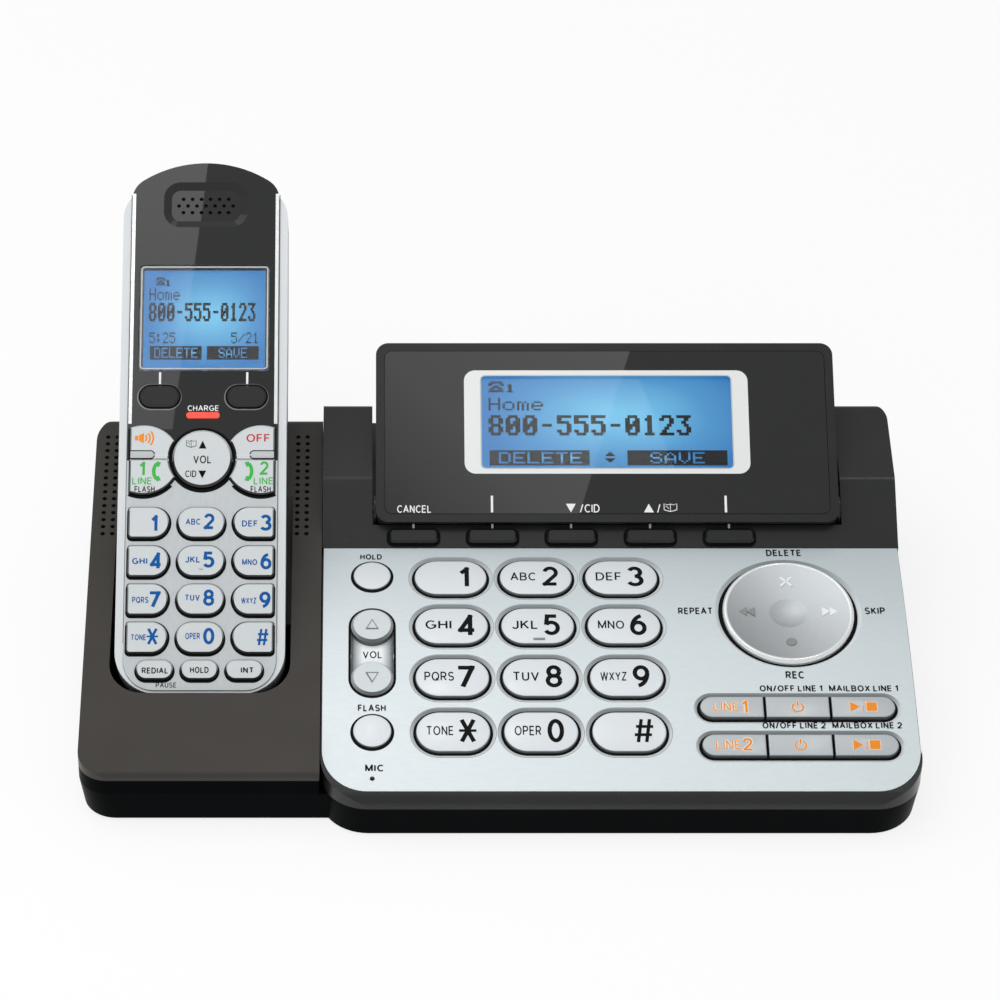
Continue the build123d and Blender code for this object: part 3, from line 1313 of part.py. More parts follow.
with BuildPart() as handset_screen:
    with BuildSketch(handset_plane(window_along, 0, -shell - seat)):
        Rectangle(hs_screen[0] + 2, hs_screen[1] + 2)
    extrude(amount=-2.4)
handset_screen.part.label = "handset_screen"
export_step(handset_screen.part, "parts/handset_screen.step")

with BuildPart() as handset_board:
    with BuildSketch(handset_plane((board_span[0] + board_span[1]) / 2, 0, board_face)):
        RectangleRounded(36, board_span[1] - board_span[0], 8)
    extrude(amount=-1)
    with BuildSketch(handset_plane(ear_along, 0, board_face)):
        Circle(6.5)
    extrude(amount=-board_face - shell - 0.3)
    with BuildSketch(handset_plane(30, 0, board_face - 1)):
        with Locations((0, 0), (6, 84)):
            Rectangle(16, 12)
    extrude(amount=-1.6)
handset_board.part.label = "handset_board"
export_step(handset_board.part, "parts/handset_board.step")
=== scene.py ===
"""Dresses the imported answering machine: keys, lettering, screens, trim, materials, light and camera.

Lengths below are in millimetres, as on a drawing, and `MM` turns them into Blender's metres.
"""

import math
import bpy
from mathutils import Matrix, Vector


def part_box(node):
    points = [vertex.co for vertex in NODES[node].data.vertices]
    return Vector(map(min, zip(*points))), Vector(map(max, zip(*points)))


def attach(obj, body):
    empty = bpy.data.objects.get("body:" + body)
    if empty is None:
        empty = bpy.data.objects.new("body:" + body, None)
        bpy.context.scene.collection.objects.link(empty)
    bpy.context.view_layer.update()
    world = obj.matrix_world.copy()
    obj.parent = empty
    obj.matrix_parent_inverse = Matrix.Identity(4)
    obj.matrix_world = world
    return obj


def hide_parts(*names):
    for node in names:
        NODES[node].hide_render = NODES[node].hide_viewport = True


bl_info = {
    "name": "Answering machine",
    "version": (1, 0, 0),
    "blender": (4, 5, 0),
    "location": "3D View > Sidebar > Answering machine",
    "description": "Builds the visible detail of a two-line answering machine on its CAD frame",
    "category": "Object",
}

import bmesh
import bpy
from bpy.props import FloatProperty, FloatVectorProperty, PointerProperty
from mathutils import Matrix, Vector

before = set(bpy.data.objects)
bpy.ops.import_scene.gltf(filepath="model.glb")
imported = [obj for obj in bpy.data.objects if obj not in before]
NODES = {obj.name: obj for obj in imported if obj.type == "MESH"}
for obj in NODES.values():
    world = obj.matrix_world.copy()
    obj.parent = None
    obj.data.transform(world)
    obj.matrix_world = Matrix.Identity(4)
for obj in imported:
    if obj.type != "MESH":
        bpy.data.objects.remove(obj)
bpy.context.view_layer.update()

MM = 0.001
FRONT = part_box("console_cover")[0].y / MM  # the console's front edge
FOOT = 1.0  # how far the feet lift the housing

# ------------------------------------------------------------ places, as on the CAD drawing
DECK_START, DECK_END, DECK_RADIUS = (2.4, 14.1), (85.3, 29.2), 399.0
LEDGE_SLOPE = 30.0
DIAL_COLUMNS = (-12.55, 11.3, 35.2)
DIAL_ROWS = (72.6, 54.75, 36.75, 18.8)
DIAL_SIZE = (20.3, 12.9)
SIDE_RADIUS = 5.3
KEY_PROUD, LINE_PROUD = 0.4, 0.75
KEY_STEM, LINE_STEM = 5.5, 5.1  # how far the stems reach below the deck
SIDE_X, HOLD_ALONG, FLASH_ALONG, VOLUME_ALONG = -34.5, 73.35, 19.1, 45.8
VOLUME_PROUD, VOLUME_SADDLE, VOLUME_SLOT = 0.5, -2.0, (11.7, 30.0)
NAV_X, NAV_ALONG, NAV_RADIUS, NAV_PROUD, NAV_DISH = 81.1, 59.9, 18.25, 0.7, 1.0
LINE_MIDDLE, LINE_PITCH, LINE_SIZE = 81.3, 17.9, (17.4, 7.0)
LINE_ROWS, LINE_POCKET = (26.65, 14.35), (54.0, 7.6)
SOFT_COLUMNS = (-22.8, -0.5, 21.75, 44.1, 66.4)
DISPLAY_MIDDLE, DISPLAY_LOW, DISPLAY_PROUD, DISPLAY_HEIGHT = 31.95, 6.4, 3.75, 54.5
SCREEN_X, SCREEN_MID = 32.225, 30.3
LENS_SIZE, WINDOW_SIZE, FRAME_SIZE = (125.6, 49.4), (71.2, 28.0), (81.0, 31.5)
HANDSET_X, HANDSET_ZERO, HANDSET_LEAN = -81.9, (36.0, 20.9), 32.0  # lengths on it start 1.4 above its toe
PAD_ROWS = (47.4, 36.25, 25.2, 14.25)
PAD_SIZE = (13.2, 9.0)
SIDE_INNER, SIDE_REACH = 8.9, 20.2
FUNCTION_ALONG, FUNCTION_PITCH, FUNCTION_SIZE = 5.1, 12.3, (10.2, 5.6)
H_NAV_ALONG, H_NAV_RADIUS = 66.1, 8.4
ROCKER_X, ROCKER_ALONG, ROCKER_RADIUS = 16.4, 65.8, 10.2
WINDOW_ALONG, EAR_ALONG = 108.4, 142.8
SOFT_X, SOFT_ALONG, SOFT_SIZE = 12.2, 84.7, (11.0, 6.3)
SOFT_KEY_ALONG, SOFT_KEY_SIZE = 3.3, (13.9, 4.2)
CREASE = 21.05  # up the ledge to where the ears level off
KEY_FLANGE, KEY_WALL, STEM_RADIUS = 0.8, 2.0, 3.0  # under the cap of each base key
LINE_EDGE, LINE_CORNER = 0.5, 0.35
PAD_FACE, NAV_FACE = 1.0, 1.2  # how far the handset's keys stand over its face
FACE_EDGE = 20.85  # half the width of the handset's face
LAMP_SIZE = (6.6, 2.0)  # of the clear pane in each wing key
DISPLAY_GLASS, HANDSET_GLASS = -1.65, -1.95  # depth of the lit panels
STROKE_STEP, STROKE_LEVELS = 0.003, 5  # crossing strokes lie at slightly different heights
CELL_LIFT = 0.04  # of the dark cells over a lit panel
ARCH_STEP = 2.5  # longest stretch of a flat ring on the arched deck
SADDLE_SHEET = 0.22  # thickness of the silver between the volume pads


def slope_plane(x, y, z, slope):
    """Matrix of a plane on a slope: x along +X, y up the slope, z outwards."""
    a = math.radians(slope)
    c, s = math.cos(a), math.sin(a)
    place = Matrix(((1, 0, 0, x), (0, c, -s, FRONT + y), (0, s, c, FOOT + z), (0, 0, 0, 1)))
    place.translation *= MM
    return place


def up_slope(start, slope, along, proud=0.0):
    a = math.radians(slope)
    c, s = math.cos(a), math.sin(a)
    return start[0] + along * c - proud * s, start[1] + along * s + proud * c


CHORD = math.hypot(DECK_END[0] - DECK_START[0], DECK_END[1] - DECK_START[1])
DECK_SLOPE = math.degrees(math.atan2(DECK_END[1] - DECK_START[1], DECK_END[0] - DECK_START[0])
                          + math.asin(CHORD / 2 / DECK_RADIUS))


def deck(x, along, lift=0.0):
    """Plane on the arched deck, at a distance back from its front edge."""
    slope = DECK_SLOPE - math.degrees(along / DECK_RADIUS)
    centre = up_slope(DECK_START, DECK_SLOPE, 0, -DECK_RADIUS)
    return slope_plane(x, *up_slope(centre, slope, 0, DECK_RADIUS + lift), slope)


def ledge(x, along, lift=0.0):
    return slope_plane(x, *up_slope(DECK_END, LEDGE_SLOPE, along, lift), LEDGE_SLOPE)


def display(x, above, lift=0.0):
    """Plane on the display's front; x is the part's own, above is from the display's lower edge."""
    return ledge(x, DISPLAY_LOW + above, DISPLAY_PROUD + lift)


def handset(x, along, lift=0.0):
    return slope_plane(HANDSET_X + x, *up_slope(HANDSET_ZERO, HANDSET_LEAN, along, lift), HANDSET_LEAN)


# ------------------------------------------------------------ materials
def colour(text):
    """A hex colour, or a setting's linear one, as linear RGBA."""
    if not isinstance(text, str):
        return [*text][:3] + [1]
    channels = [int(text[i:i + 2], 16) / 255 for i in (1, 3, 5)]
    return [c / 12.92 if c <= 0.04045 else ((c + 0.055) / 1.055) ** 2.4 for c in channels] + [1]


def shade(base, share):
    """A linear colour made darker, or lighter as far as white."""
    return [min(1.0, c * share) for c in base[:3]] + [1]


class Nodes:
    """Short way to lay out a material's node tree."""

    def __init__(self, name):
        self.material = bpy.data.materials.new(name)
        self.material.use_nodes = True
        self.tree = self.material.node_tree
        self.shader = self.tree.nodes["Principled BSDF"]
        self.output = self.tree.nodes["Material Output"]

    def add(self, kind, inputs=(), **settings):
        node = self.tree.nodes.new("ShaderNode" + kind)
        for key, value in settings.items():
            setattr(node, key, value)
        for key, value in dict(inputs).items():
            if isinstance(value, bpy.types.NodeSocket):
                self.tree.links.new(value, node.inputs[key])
            else:
                node.inputs[key].default_value = value
        return node

    def math(self, operation, *values):
        return self.add("Math", enumerate(values), operation=operation).outputs[0]

    def vector(self, operation, *values, output="Vector"):
        return self.add("VectorMath", enumerate(values), operation=operation).outputs[output]

    def axis(self, vector, name):
        return self.add("SeparateXYZ", {0: vector}).outputs[name]

    def normal(self, name):
        return self.axis(self.add("NewGeometry").outputs["Normal"], name)

    def link(self, value, socket):
        self.tree.links.new(value, self.shader.inputs[socket])

    def set(self, **values):
        """Sets sockets of the shader that are the same all over; _ stands for a space."""
        for name, value in values.items():
            self.shader.inputs[name.replace("_", " ")].default_value = value

    def surface(self, shader):
        self.tree.links.new(shader.outputs[0], self.output.inputs["Surface"])

    def position(self, scale=(1, 1, 1)):
        """The point on the object, in metres, stretched by a scale."""
        coordinates = self.add("TexCoord")
        return self.add("Mapping", {"Vector": coordinates.outputs["Object"], "Scale": scale}).outputs[0]

    def noise(self, scale, detail=2.0, stretch=(1, 1, 1), rough=0.5):
        return self.add("TexNoise", {"Vector": self.position(stretch), "Scale": scale, "Detail": detail,
                                     "Roughness": rough}).outputs["Fac"]

    def ramp(self, factor, *stops):
        """Colour ramp; each stop is (position, colour)."""
        node = self.add("ValToRGB", {0: factor})
        band = node.color_ramp
        while len(band.elements) < len(stops):
            band.elements.new(0.5)
        for element, (place, tint) in zip(band.elements, stops):
            element.position = place
            element.color = tint
        return node.outputs["Color"]

    def remap(self, value, low, high, to_low=0.0, to_high=1.0):
        return self.add("MapRange", {"Value": value, "From Min": low, "From Max": high,
                                     "To Min": to_low, "To Max": to_high}).outputs[0]

    def gloss(self, pattern, dull, bright):
        """Roughness that follows a noise pattern."""
        self.link(self.remap(pattern, 0.3, 0.7, dull, bright), "Roughness")

    def drift(self, pattern, amount):
        """A noise pattern as a small drift to both sides of nought."""
        return self.math("MULTIPLY", self.math("SUBTRACT", pattern, 0.5), amount)

    def mix(self, factor, first, second):
        return self.add("Mix", {0: factor, 6: first, 7: second}, data_type="RGBA").outputs[2]

    def bump(self, height, strength, distance):
        bumps = self.add("Bump", {"Height": height, "Strength": strength, "Distance": distance})
        self.link(bumps.outputs[0], "Normal")


def moulded(name, tint, roughness, grain=0.12, fine=2600, coat=0.0, shift=0.06, specular=0.5, polish=0.06):
    """Moulded plastic: fine grain, and slow drifts of shade and gloss."""
    n = Nodes(name)
    base = colour(tint)
    n.link(n.ramp(n.noise(38, 3), (0.3, shade(base, 1 - shift)), (0.7, shade(base, 1 + shift))), "Base Color")
    n.gloss(n.noise(90, 4), roughness - 0.04, roughness + 0.05)
    n.set(Coat_Weight=coat, Coat_Roughness=polish, Specular_IOR_Level=specular)
    if grain:
        n.bump(n.noise(fine, 2), grain, 0.00006)
    return n.material


def glossy(name, tint):
    """Piano-gloss plastic under a clear coat."""
    return moulded(name, tint, 0.3, 0.0, coat=0.8, shift=0.03, specular=0.1, polish=0.01)


def brushed(name, tint, roughness, metallic=0.0, streak=0.08, across=(1, 1, 1)):
    """Brushed or satin metallic film: short streaks along one way."""
    n = Nodes(name)
    base = colour(tint)
    fibres = n.noise(900, 2, across)
    dark, light = shade(base, 1 - streak), shade(base, 1 + streak * 0.6)
    n.link(n.ramp(fibres, (0.35, dark), (0.65, light)), "Base Color")
    n.gloss(fibres, roughness + 0.08, roughness - 0.05)
    n.set(Metallic=metallic)
    n.bump(fibres, 0.04, 0.00001)
    return n.material


def deck_plate(name, tint):
    """Brushed silver film with painted shade towards its rear and right; painted shade and highlight on its
    hole rims by the way they face.
    """
    n = Nodes(name)
    base = colour(tint)
    fibres = n.noise(900, 5, (0.35, 1.6, 1), 0.65)
    film = n.ramp(fibres, (0.35, shade(base, 0.965)), (0.65, base))
    # painted shade: the film is made darker towards the rear and towards the right
    painted_rear_shade = n.ramp(n.remap(n.axis(n.position(), "Y"), -0.085, 0.0), (0.0, (1, 1, 1, 1)),
                      (0.55, (0.94, 0.945, 0.95, 1)), (1.0, (0.78, 0.8, 0.81, 1)))
    painted_right_shade = n.ramp(n.remap(n.axis(n.position(), "X"), -0.03, 0.11), (0.0, (1, 1, 1, 1)),
                       (1.0, (0.88, 0.9, 0.9, 1)))
    film = n.vector("MULTIPLY", n.vector("MULTIPLY", film, painted_rear_shade), painted_right_shade)
    # painted shade on the hole rims that look forward, painted highlight on those that look back
    painted_rim_shade = n.ramp(n.remap(n.normal("Y"), -0.72, 0.35), (0.0, colour("#8f9598")), (0.3, colour("#b9bfc2")),
                  (0.5, colour("#dbe1e4")), (1.0, colour("#f2f5f6")))
    n.link(n.mix(n.remap(n.normal("Z"), 0.925, 0.955), painted_rim_shade, film), "Base Color")
    n.gloss(fibres, 0.48, 0.36)
    n.set(Metallic=0.25)
    n.bump(fibres, 0.05, 0.00004)
    return n.material


def key_plastic(name, top, painted_wall_shade, roughness, metallic):
    """A key with a pale top and painted shade on its walls, where the faces lean away from the top."""
    n = Nodes(name)
    speck = n.noise(3200, 2)
    grain = n.ramp(speck, (0.3, shade(colour(top), 0.96)), (0.7, colour(top)))
    # painted shade: faces that lean away from the top take the darker wall colour
    n.link(n.mix(n.remap(n.normal("Z"), 0.55, 0.8), colour(painted_wall_shade), grain), "Base Color")
    n.gloss(n.noise(120, 3), roughness - 0.04, roughness + 0.06)
    n.set(Metallic=metallic, Coat_Weight=0.35, Coat_Roughness=0.15)
    n.bump(speck, 0.06, 0.00004)
    return n.material


def disc_metal(name, tint):
    """Satin metal of the four-way disc, with painted shade towards its near left side and painted light
    towards its far right, as the dished disc would take the light.
    """
    n = Nodes(name)
    base = colour(tint)
    apart = n.vector("SUBTRACT", n.position(), deck(NAV_X, NAV_ALONG).translation)
    painted_light_slant = n.vector("DOT_PRODUCT", apart, (0.8, 0.6, 0.0), output="Value")
    fine = n.noise(1800, 3)
    # painted light and shade across the disc, along the slant
    n.link(n.ramp(n.math("ADD", n.remap(painted_light_slant, -0.018, 0.018), n.drift(fine, 0.1)), (0.05, shade(base, 0.5)),
                  (0.5, shade(base, 0.84)), (0.95, shade(base, 1.22))), "Base Color")
    n.gloss(fine, 0.4, 0.3)
    n.set(Metallic=0.3)
    n.bump(fine, 0.08, 0.00005)
    return n.material


def saddle_metal(name, tint):
    """Silver saddle between the two volume pads, with painted shade at its sides where the saddle falls away.
    """
    n = Nodes(name)
    away = n.math("ABSOLUTE", n.math("SUBTRACT", n.axis(n.position(), "X"), SIDE_X * MM))
    streaks = n.drift(n.noise(900, 4, (0.5, 1.5, 1)), 0.05)
    # painted shade: darker with distance from the middle of the saddle
    n.link(n.ramp(n.math("ADD", n.remap(away, 0.0, 0.0058), streaks), (0.45, colour(tint)),
                  (0.8, colour("#a3a9ab")), (0.97, colour("#43474a"))), "Base Color")
    n.set(Roughness=0.35)
    return n.material


def printing_ink(name, tint):
    """Printing ink, very slightly mottled."""
    n = Nodes(name)
    base = colour(tint)
    n.link(n.ramp(n.noise(1500, 2), (0.3, shade(base, 0.92)), (0.7, base)), "Base Color")
    n.set(Roughness=0.45, Specular_IOR_Level=0.1)
    return n.material


def glowing_lens(name, glow):
    """A lit lamp behind a clear coloured cap."""
    n = Nodes(name)
    n.link(n.ramp(n.noise(400, 2), (0.3, colour(glow)), (0.7, shade(colour(glow), 0.85))), "Base Color")
    n.set(Emission_Color=colour(glow), Emission_Strength=0.45, Coat_Weight=0.6, Roughness=0.3)
    return n.material


def clear_lens(name):
    n = Nodes(name)
    n.set(Transmission_Weight=1.0, IOR=1.35, Base_Color=colour("#f6f9fb"))
    n.gloss(n.noise(60, 2), 0.0, 0.02)
    return n.material


def lit_panel(name, middle, edge):
    """A lit liquid crystal panel, brightest in its middle."""
    n = Nodes(name)
    place = n.add("TexCoord").outputs["Generated"]
    parts = []
    for axis, centre, power in (("X", 0.55, 2.6), ("Y", 0.52, 2.2)):
        offset = n.math("MULTIPLY", n.math("SUBTRACT", n.axis(place, axis), centre), 2.0)
        parts.append(n.math("POWER", n.math("ABSOLUTE", offset), power))
    away = n.math("ADD", n.math("SQRT", n.math("ADD", *parts)), n.math("MULTIPLY", n.noise(60, 2), 0.08))
    between = [c * 0.3 + d * 0.7 for c, d in zip(colour(middle), colour(edge))]
    n.link(n.ramp(away, (0.1, colour(middle)), (0.6, between), (1.0, colour(edge))), "Emission Color")
    n.link(n.ramp(n.noise(900, 1), (0.0, colour("#06121e")), (1.0, colour("#081726"))), "Base Color")
    n.set(Emission_Strength=0.9, Roughness=0.5)
    return n.material


def dress(**finishes):
    """Gives CAD nodes their finishes, as node="finish"."""
    for node, finish in finishes.items():
        slots = NODES[node].data.materials
        slots.clear()
        slots.append(material(finish))


# ------------------------------------------------------------ mesh helpers
def new_piece(name, body, mesh, *finishes):
    piece = bpy.data.objects.new(name, mesh)
    bpy.context.scene.collection.objects.link(piece)
    for finish in finishes:
        mesh.materials.append(material(finish))
    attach(piece, body)
    return piece


def solid_piece(name, body, bm, *finishes, smooth=40.0):
    """A piece from a finished bmesh, with the edges sharper than an angle kept sharp."""
    mesh = bpy.data.meshes.new(name)
    bmesh.ops.recalc_face_normals(bm, faces=bm.faces)
    bm.to_mesh(mesh)
    bm.free()
    for face in mesh.polygons:
        face.use_smooth = True
    mesh.set_sharp_from_angle(angle=math.radians(smooth))
    return new_piece(name, body, mesh, *finishes)


def put(bm, plane, points, lift):
    """Vertices for points on a plane."""
    return [bm.verts.new(plane @ Vector((x * MM, y * MM, lift * MM))) for x, y in points]


def bridge(bm, a, b, material=0):
    """Faces between two closed lines of vertices."""
    for i in range(len(a)):
        j = (i + 1) % len(a)
        bm.faces.new((a[i], a[j], b[j], b[i])).material_index = material


def arc(cx, cy, radius, start, end, count):
    """Points on an arc, in degrees."""
    turns = [math.radians(start + (end - start) * i / count) for i in range(count + 1)]
    return [(cx + radius * math.cos(t), cy + radius * math.sin(t)) for t in turns]


def pill(width, height, x=0.0, y=0.0):
    """Outline of a pill, as a function of how far it is drawn in."""
    def outline(inset):
        r = height / 2 - inset
        d = (width - height) / 2
        return arc(x + d, y, r, -90, 90, 20) + arc(x - d, y, r, 90, 270, 20)
    return outline


def disc(radius, x=0.0, y=0.0, count=72):
    return lambda inset: arc(x, y, radius - inset, 0, 360 - 360 / count, count - 1)


def rounded(width, height, radii, x=0.0, y=0.0):
    """Rectangle with one radius, or one for each corner: front left, front right, rear right, rear left."""
    radii = [radii] * 4 if isinstance(radii, float) else radii

    def outline(inset):
        w, h = width / 2 - inset, height / 2 - inset
        points = []
        for (sx, sy), radius, start in zip(((-1, -1), (1, -1), (1, 1), (-1, 1)), radii, (180, 270, 0, 90)):
            r = max(0.02, radius - inset)
            points += arc(x + sx * (w - r), y + sy * (h - r), r, start, start + 90, 8)
        return points
    return outline


def rim(z0, z1, radius, steps):
    """Levels of a wall that rounds over at its top: (inset, height) pairs."""
    turn = [math.radians(90 * i / steps) for i in range(steps + 1)]
    return [(0, z0)] + [(radius * (1 - math.cos(t)), z1 - radius + radius * math.sin(t)) for t in turn]


def add_prism(bm, plane, outline, levels, material=0):
    """A solid through the outline at each level, closed at the top and the bottom."""
    rings = [put(bm, plane, outline(inset), z) for inset, z in levels]
    for low, high in zip(rings, rings[1:]):
        bridge(bm, low, high, material)
    for end in (rings[-1], rings[0][::-1]):
        bm.faces.new(end).material_index = material


def lathe(bm, plane, profile, material=0):
    """A turned solid: profile is (radius, height) pairs from the axis outwards and back."""
    count = 96
    rings = [put(bm, plane, disc(radius, count=count)(0) if radius else [(0, 0)], z) for radius, z in profile]
    for low, high in zip(rings, rings[1:]):
        for i in range(count):
            j = (i + 1) % count
            square = [low[i % len(low)], low[j % len(low)], high[j % len(high)], high[i % len(high)]]
            bm.faces.new(list(dict.fromkeys(square))).material_index = material


def flat_ring(bm, plane, outer, inner, lift, material=0):
    """A flat band between two outlines of equal point count."""
    bridge(bm, put(bm, plane, outer, lift), put(bm, plane, inner, lift), material)


def deck_ring(bm, x, along, outer, inner, lift, material=0):
    """A band between two outlines that follows the arch of the deck."""
    a, b = [], []
    for i in range(len(outer)):
        j = (i + 1) % len(outer)
        steps = max(1, round(math.dist(outer[i], outer[j]) / ARCH_STEP))
        for made, line in ((a, outer), (b, inner)):
            for step in range(steps):
                px, py = (p + (q - p) * step / steps for p, q in zip(line[i], line[j]))
                made.append(bm.verts.new(deck(x + px, along + py, lift).translation))
    bridge(bm, a, b, material)


# ------------------------------------------------------------ lettering and marks
def shape(*polygons):
    """Flat polygons as (points, faces)."""
    points, faces = [], []
    for polygon in polygons:
        faces.append(tuple(range(len(points), len(points) + len(polygon))))
        points += polygon
    return points, faces


def band(cx, cy, inner, outer, start, end, count=20):
    """Part of a ring, as (points, faces)."""
    points = arc(cx, cy, inner, start, end, count) + arc(cx, cy, outer, start, end, count)
    step = count + 1
    return points, [(i, i + 1, step + i + 1, step + i) for i in range(count)]


def merge(*shapes):
    points, faces = [], []
    for more_points, more_faces in shapes:
        faces += [tuple(i + len(points) for i in face) for face in more_faces]
        points += more_points
    return points, faces


def stroke(points, width):
    """A line of constant width through points, as (points, faces)."""
    left, right = [], []
    for i, point in enumerate(points):
        before, after = Vector(points[max(0, i - 1)]), Vector(points[min(len(points) - 1, i + 1)])
        along = (after - before).normalized()
        side = Vector((-along.y, along.x)) * width / 2
        left.append(tuple(Vector(point) + side))
        right.append(tuple(Vector(point) - side))
    n = len(points)
    return left + right, [(i, i + 1, n + i + 1, n + i) for i in range(n - 1)]


def bent(cx, cy, rx, ry, start, end, count=18):
    """Points on part of an ellipse, in degrees."""
    return [(cx + rx * x, cy + ry * y) for x, y in arc(0, 0, 1, start, end, count)]


# letters as lines on a field one high
LETTERS = {
    "A": ([(0, 0), (0.36, 1), (0.72, 0)], [(0.12, 0.33), (0.6, 0.33)]),
    "B": ([(0.32, 1), (0, 1), (0, 0), (0.34, 0)], [(0, 0.53), (0.32, 0.53)],
          bent(0.32, 0.765, 0.24, 0.235, 90, -90), bent(0.34, 0.265, 0.27, 0.265, 90, -90)),
    "C": (bent(0.38, 0.5, 0.38, 0.5, 48, 312),),
    "D": ([(0.26, 1), (0, 1), (0, 0), (0.26, 0)], bent(0.26, 0.5, 0.4, 0.5, 90, -90)),
    "E": ([(0.52, 1), (0, 1), (0, 0), (0.52, 0)], [(0, 0.52), (0.47, 0.52)]),
    "F": ([(0.5, 1), (0, 1), (0, 0)], [(0, 0.5), (0.45, 0.5)]),
    "G": (bent(0.38, 0.5, 0.38, 0.5, 50, 335), [(0.42, 0.45), (0.73, 0.45), (0.73, 0.1)]),
    "H": ([(0, 0), (0, 1)], [(0.6, 0), (0.6, 1)], [(0, 0.52), (0.6, 0.52)]),
    "I": ([(0, 0), (0, 1)],),
    "J": ([(0.44, 1), (0.44, 0.24)], bent(0.22, 0.24, 0.22, 0.24, 0, -165)),
    "K": ([(0, 0), (0, 1)], [(0.56, 1), (0, 0.36)], [(0.2, 0.58), (0.6, 0)]),
    "L": ([(0, 1), (0, 0), (0.48, 0)],),
    "M": ([(0, 0), (0, 1), (0.39, 0.08), (0.78, 1), (0.78, 0)],),
    "N": ([(0, 0), (0, 1), (0.6, 0), (0.6, 1)],),
    "O": (bent(0.39, 0.5, 0.39, 0.5, 0, 360, 30),),
    "P": ([(0.3, 1), (0, 1), (0, 0)], [(0, 0.46), (0.3, 0.46)], bent(0.3, 0.73, 0.27, 0.27, 90, -90)),
    "Q": (bent(0.39, 0.5, 0.39, 0.5, 0, 360, 30), [(0.48, 0.25), (0.76, -0.04)]),
    "R": ([(0.3, 1), (0, 1), (0, 0)], [(0, 0.46), (0.3, 0.46)], bent(0.3, 0.73, 0.27, 0.27, 90, -90),
          [(0.3, 0.46), (0.6, 0)]),
    "S": (bent(0.29, 0.745, 0.27, 0.255, 28, 270), bent(0.29, 0.245, 0.29, 0.245, 90, -152)),
    "T": ([(0, 1), (0.62, 1)], [(0.31, 1), (0.31, 0)]),
    "U": ([(0, 1), (0, 0.29)], bent(0.29, 0.29, 0.29, 0.29, 180, 360), [(0.58, 0.29), (0.58, 1)]),
    "V": ([(0, 1), (0.34, 0), (0.68, 1)],),
    "W": ([(0, 1), (0.25, 0), (0.5, 1), (0.75, 0), (1.0, 1)],),
    "X": ([(0, 0), (0.6, 1)], [(0, 1), (0.6, 0)]),
    "Y": ([(0, 1), (0.32, 0.46), (0.64, 1)], [(0.32, 0.46), (0.32, 0)]),
    "Z": ([(0, 1), (0.56, 1), (0, 0), (0.57, 0)],),
    "0": (bent(0.28, 0.5, 0.28, 0.5, 0, 360, 30),),
    "1": ([(0, 0.76), (0.26, 1), (0.26, 0)],),
    "2": (bent(0.28, 0.715, 0.28, 0.285, 165, -42), [(0.49, 0.53), (0, 0), (0.57, 0)]),
    "3": (bent(0.27, 0.755, 0.25, 0.245, 155, -90), bent(0.27, 0.255, 0.29, 0.255, 90, -155)),
    "4": ([(0.42, 0), (0.42, 1), (0, 0.27), (0.6, 0.27)],),
    "5": ([(0.51, 1), (0.09, 1), (0.04, 0.5)], bent(0.27, 0.32, 0.29, 0.32, 142, -150)),
    "6": (bent(0.29, 0.31, 0.28, 0.31, 0, 360, 28), bent(0.5, 0.31, 0.49, 0.68, 180, 98)),
    "7": ([(0, 1), (0.55, 1), (0.18, 0)],),
    "8": (bent(0.28, 0.755, 0.24, 0.245, 0, 360, 26), bent(0.28, 0.265, 0.28, 0.265, 0, 360, 26)),
    "9": (bent(0.28, 0.69, 0.28, 0.31, 0, 360, 28), bent(0.07, 0.69, 0.49, 0.68, 0, -82)),
    "#": ([(0.12, 0), (0.26, 1)], [(0.42, 0), (0.56, 1)], [(0, 0.32), (0.62, 0.32)],
          [(0.06, 0.68), (0.68, 0.68)]),
    "/": ([(0, -0.06), (0.36, 1.06)],),
}


WORD_SPACE = 0.34
CURVE_POINTS = 8  # a line with more points than this is a curve


def word(text, weight, gap=0.16):
    """A word in plain line letters, as (points, faces); weight is the width of a line."""
    parts, x = [], 0.0
    for letter in text:
        if letter == " ":
            x += WORD_SPACE
            continue
        lines = LETTERS[letter]
        for line in lines:
            line = [(x + px, py) for px, py in line]
            parts += [stroke(line, weight)] if len(line) > CURVE_POINTS else corners(line, weight)
        x += max(px for line in lines for px, _ in line) + weight + gap
    return merge(*parts)


def corners(points, width):
    """Straight strokes through points, each carried on to fill the corner it meets."""
    made = []
    for i, (start, end) in enumerate(zip(points, points[1:])):
        a, b = Vector(start), Vector(end)
        step = (b - a).normalized() * width / 2
        made.append(stroke([tuple(a - step * (i > 0)), tuple(b + step * (i < len(points) - 2))], width))
    return made


def mirrored(figure):
    return [(-x, y) for x, y in figure[0]], [face[::-1] for face in figure[1]]


TRI_UP = shape([(-1, 0), (1, 0), (0, 1.6)])
TRI_DOWN = shape([(-1, 1.6), (0, 0), (1, 1.6)])
TRI_RIGHT = shape([(0, 0), (1.5, 0.9), (0, 1.8)])
SQUARE = shape([(0, 0), (1, 0), (1, 1), (0, 1)])
DOT = shape(arc(0, 0, 1, 0, 350, 35))
CROSS = merge(stroke([(0, 0), (2, 2)], 0.42), stroke([(0, 2), (2, 0)], 0.42))
SKIP_ON = merge(TRI_RIGHT, ([(x + 1.4, y) for x, y in TRI_RIGHT[0]], TRI_RIGHT[1]))
SKIP_BACK = mirrored(SKIP_ON)


def power_mark(extra):
    """A power symbol, with its lines thickened by a length."""
    return merge(band(0, 0, 0.78 - extra / 2, 1.05 + extra / 2, 125, 415, 30),
                 stroke([(0, 0.25 - extra / 2), (0, 1.25 + extra / 2)], 0.28 + extra))


def spans(figure):
    """Width and height of a figure."""
    return [max(p[i] for p in figure[0]) - min(p[i] for p in figure[0]) for i in (0, 1)]


def ink_lift(layer=1):
    """Height of a layer of print over its surface."""
    return layer * (settings().print_lift / MM)


